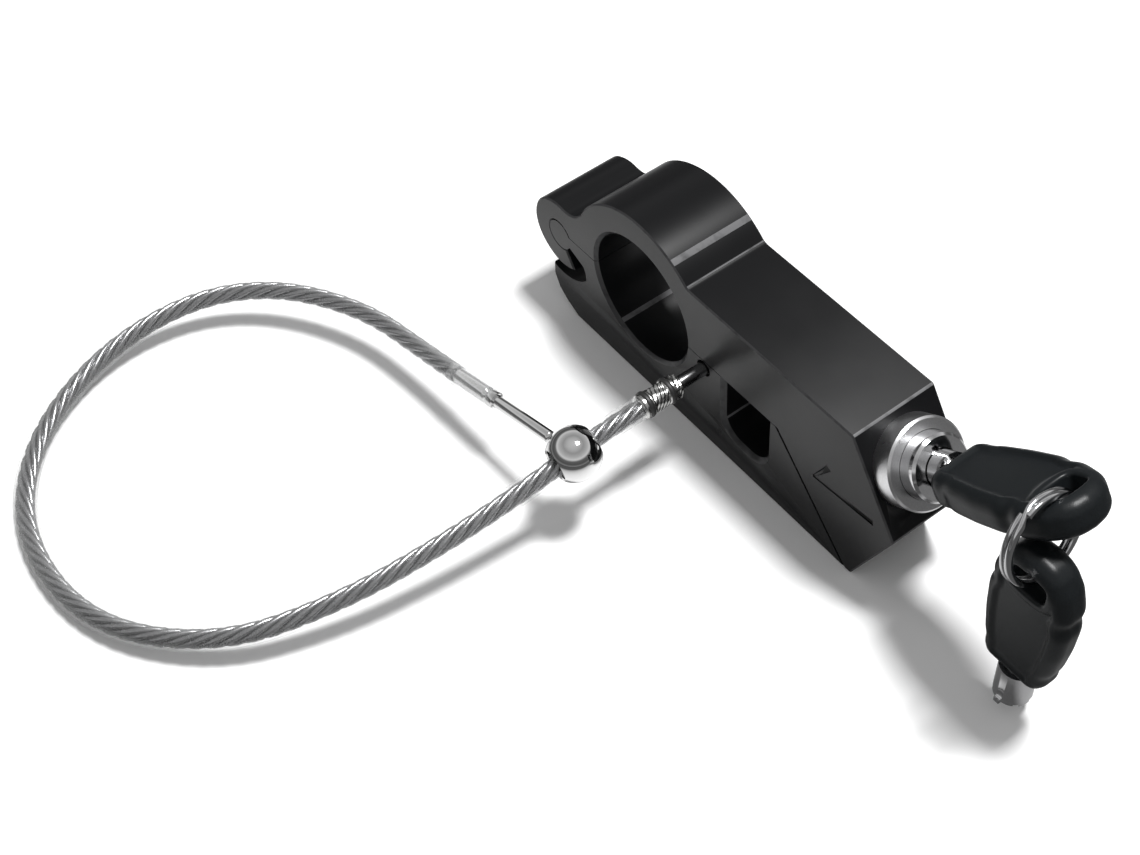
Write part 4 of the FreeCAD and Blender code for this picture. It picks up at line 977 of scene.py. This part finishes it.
class GRIPLOCK_OT_stage(bpy.types.Operator):
    """Set the pale floor, the soft light and the camera"""
    bl_idname = "griplock.stage"
    bl_label = "Stage"

    def execute(self, context):
        scene, stage = context.scene, context.scene.grip_lock_stage
        add_camera(scene, stage)
        reach = (-FLOOR_HALF, FLOOR_HALF)
        corners = np.array([[(x, y, FLOOR - FLOOR_DROP) for x in reach] for y in reach])
        floor = surface("floor", corners, wrap_columns=False)
        material, tree, shader = new_material("pale_floor")
        # The floor is pale to the camera, but its colour is painted dark where bright metal mirrors it far off: a
        # painted dark reflection.
        link(tree, mixed_colour(tree, (0.92, 0.92, 0.92), (0.06, 0.06, 0.06), painted_dark_reflection(tree)),
             shader.inputs["Base Color"])
        shader.inputs["Roughness"].default_value = 0.7
        shader.inputs["Specular IOR Level"].default_value = 0.1
        floor.data.materials.append(material)
        add_soft_box("soft_box", SOFT_BOX_PLACE, SOFT_BOX_SIZE, stage.key_power)
        add_sky(scene, stage.sky)
        scene.view_settings.view_transform = "Standard"
        return {"FINISHED"}


def painted_dark_reflection(tree):
    """Is Glossy Ray * fade with distance: the floor's colour is painted dark where bright metal mirrors it far
    off, a painted dark reflection that stands in for a dark room beyond the floor.
    """
    place = node(tree, "ShaderNodeTexCoord")
    distance = node(tree, "ShaderNodeVectorMath", operation="LENGTH")
    fade = node(tree, "ShaderNodeMapRange")
    for label, value in zip(("From Min", "From Max"), MIRROR_FADE):
        fade.inputs[label].default_value = value
    ray = node(tree, "ShaderNodeLightPath")
    both = node(tree, "ShaderNodeMath", operation="MULTIPLY")
    link(tree, place.outputs["Object"], distance.inputs[0])
    link(tree, distance.outputs["Value"], fade.inputs["Value"])
    link(tree, fade.outputs["Result"], both.inputs[0])
    link(tree, ray.outputs["Is Glossy Ray"], both.inputs[1])
    return both.outputs[0]


def add_camera(scene, stage):
    """Camera from its azimuth, elevation and roll: it looks along (-sin a cos e, cos a cos e, -sin e)."""
    a, e, roll = stage.azimuth, stage.elevation, stage.roll
    look = np.array([-math.sin(a) * math.cos(e), math.cos(a) * math.cos(e), -math.sin(e)])
    right = np.array([math.cos(a), math.sin(a), 0.0])
    up = np.cross(right, look)
    turned_right = right * math.cos(roll) + up * math.sin(roll)
    turned_up = -right * math.sin(roll) + up * math.cos(roll)
    data = bpy.data.cameras.new("camera")
    data.lens = CAMERA_LENS
    data.sensor_width = 36.0
    data.clip_start = 0.01
    camera = bpy.data.objects.new("camera", data)
    matrix = np.eye(4)
    matrix[:3, 0], matrix[:3, 1], matrix[:3, 2] = turned_right, turned_up, -look
    matrix[:3, 3] = CAMERA_PLACE
    camera.matrix_world = Matrix(matrix.tolist())
    scene.collection.objects.link(camera)
    scene.camera = camera


def add_soft_box(name, place, size, power):
    """A square area light at a place, aimed at the lock."""
    data = bpy.data.lights.new(name, "AREA")
    data.size = size
    data.energy = power
    lamp = bpy.data.objects.new(name, data)
    across, beside, back = axes_about(place)
    matrix = np.eye(4)
    matrix[:3, 0], matrix[:3, 1], matrix[:3, 2], matrix[:3, 3] = across, beside, back, place
    lamp.matrix_world = Matrix(matrix.tolist())
    bpy.context.scene.collection.objects.link(lamp)


def add_sky(scene, strength):
    """A room that is bright overhead and dark along the horizon, so that bright metal shows bands."""
    world = bpy.data.worlds.new("room")
    world.use_nodes = True
    tree = world.node_tree
    place = node(tree, "ShaderNodeTexCoord")
    split = node(tree, "ShaderNodeSeparateXYZ")
    bands = node(tree, "ShaderNodeValToRGB")
    ramp = bands.color_ramp
    stops = [(0.0, 0.40), (0.14, 0.14), (0.34, 0.22), (0.46, 1.1), (0.60, 0.80), (0.80, 0.55), (1.0, 0.95)]
    while len(ramp.elements) < len(stops):
        ramp.elements.new(0.5)
    for element, (position, level) in zip(ramp.elements, stops):
        element.position = position
        element.color = (level, level, level, 1.0)
    link(tree, place.outputs["Generated"], split.inputs["Vector"])
    link(tree, split.outputs["Z"], bands.inputs["Fac"])
    background = tree.nodes["Background"]
    background.inputs["Strength"].default_value = strength
    link(tree, bands.outputs["Color"], background.inputs["Color"])
    scene.world = world


# --------------------------------------------------------------------------------- panel and running

OPERATORS = [GRIPLOCK_OT_finishes, GRIPLOCK_OT_clamp, GRIPLOCK_OT_turnings, GRIPLOCK_OT_keys,
             GRIPLOCK_OT_ring, GRIPLOCK_OT_rope, GRIPLOCK_OT_stage]


class GRIPLOCK_PT_panel(bpy.types.Panel):
    """Grip lock pieces and sizes"""
    bl_idname = "GRIPLOCK_PT_panel"
    bl_label = "Grip lock"
    bl_space_type = "VIEW_3D"
    bl_region_type = "UI"
    bl_category = "Grip lock"

    def draw(self, context):
        for operator in OPERATORS:
            self.layout.operator(operator.bl_idname)
        for name, group in GROUPS.items():
            for size in group.__annotations__:
                self.layout.prop(getattr(context.scene, name), size)


def register():
    """Register every class and hang the sizes on the scene."""
    for kind in [*GROUPS.values(), *OPERATORS, GRIPLOCK_PT_panel]:
        bpy.utils.register_class(kind)
    for name, group in GROUPS.items():
        setattr(bpy.types.Scene, name, bpy.props.PointerProperty(type=group))


def unregister():
    """Take the sizes and classes away again."""
    for name in GROUPS:
        delattr(bpy.types.Scene, name)
    for kind in [GRIPLOCK_PT_panel, *reversed(OPERATORS), *reversed(GROUPS.values())]:
        bpy.utils.unregister_class(kind)


def main():
    """Build everything in order."""
    register()
    for operator in OPERATORS:
        group, name = operator.bl_idname.split(".")
        getattr(getattr(bpy.ops, group), name)()


if __name__ == "__main__":
    main()
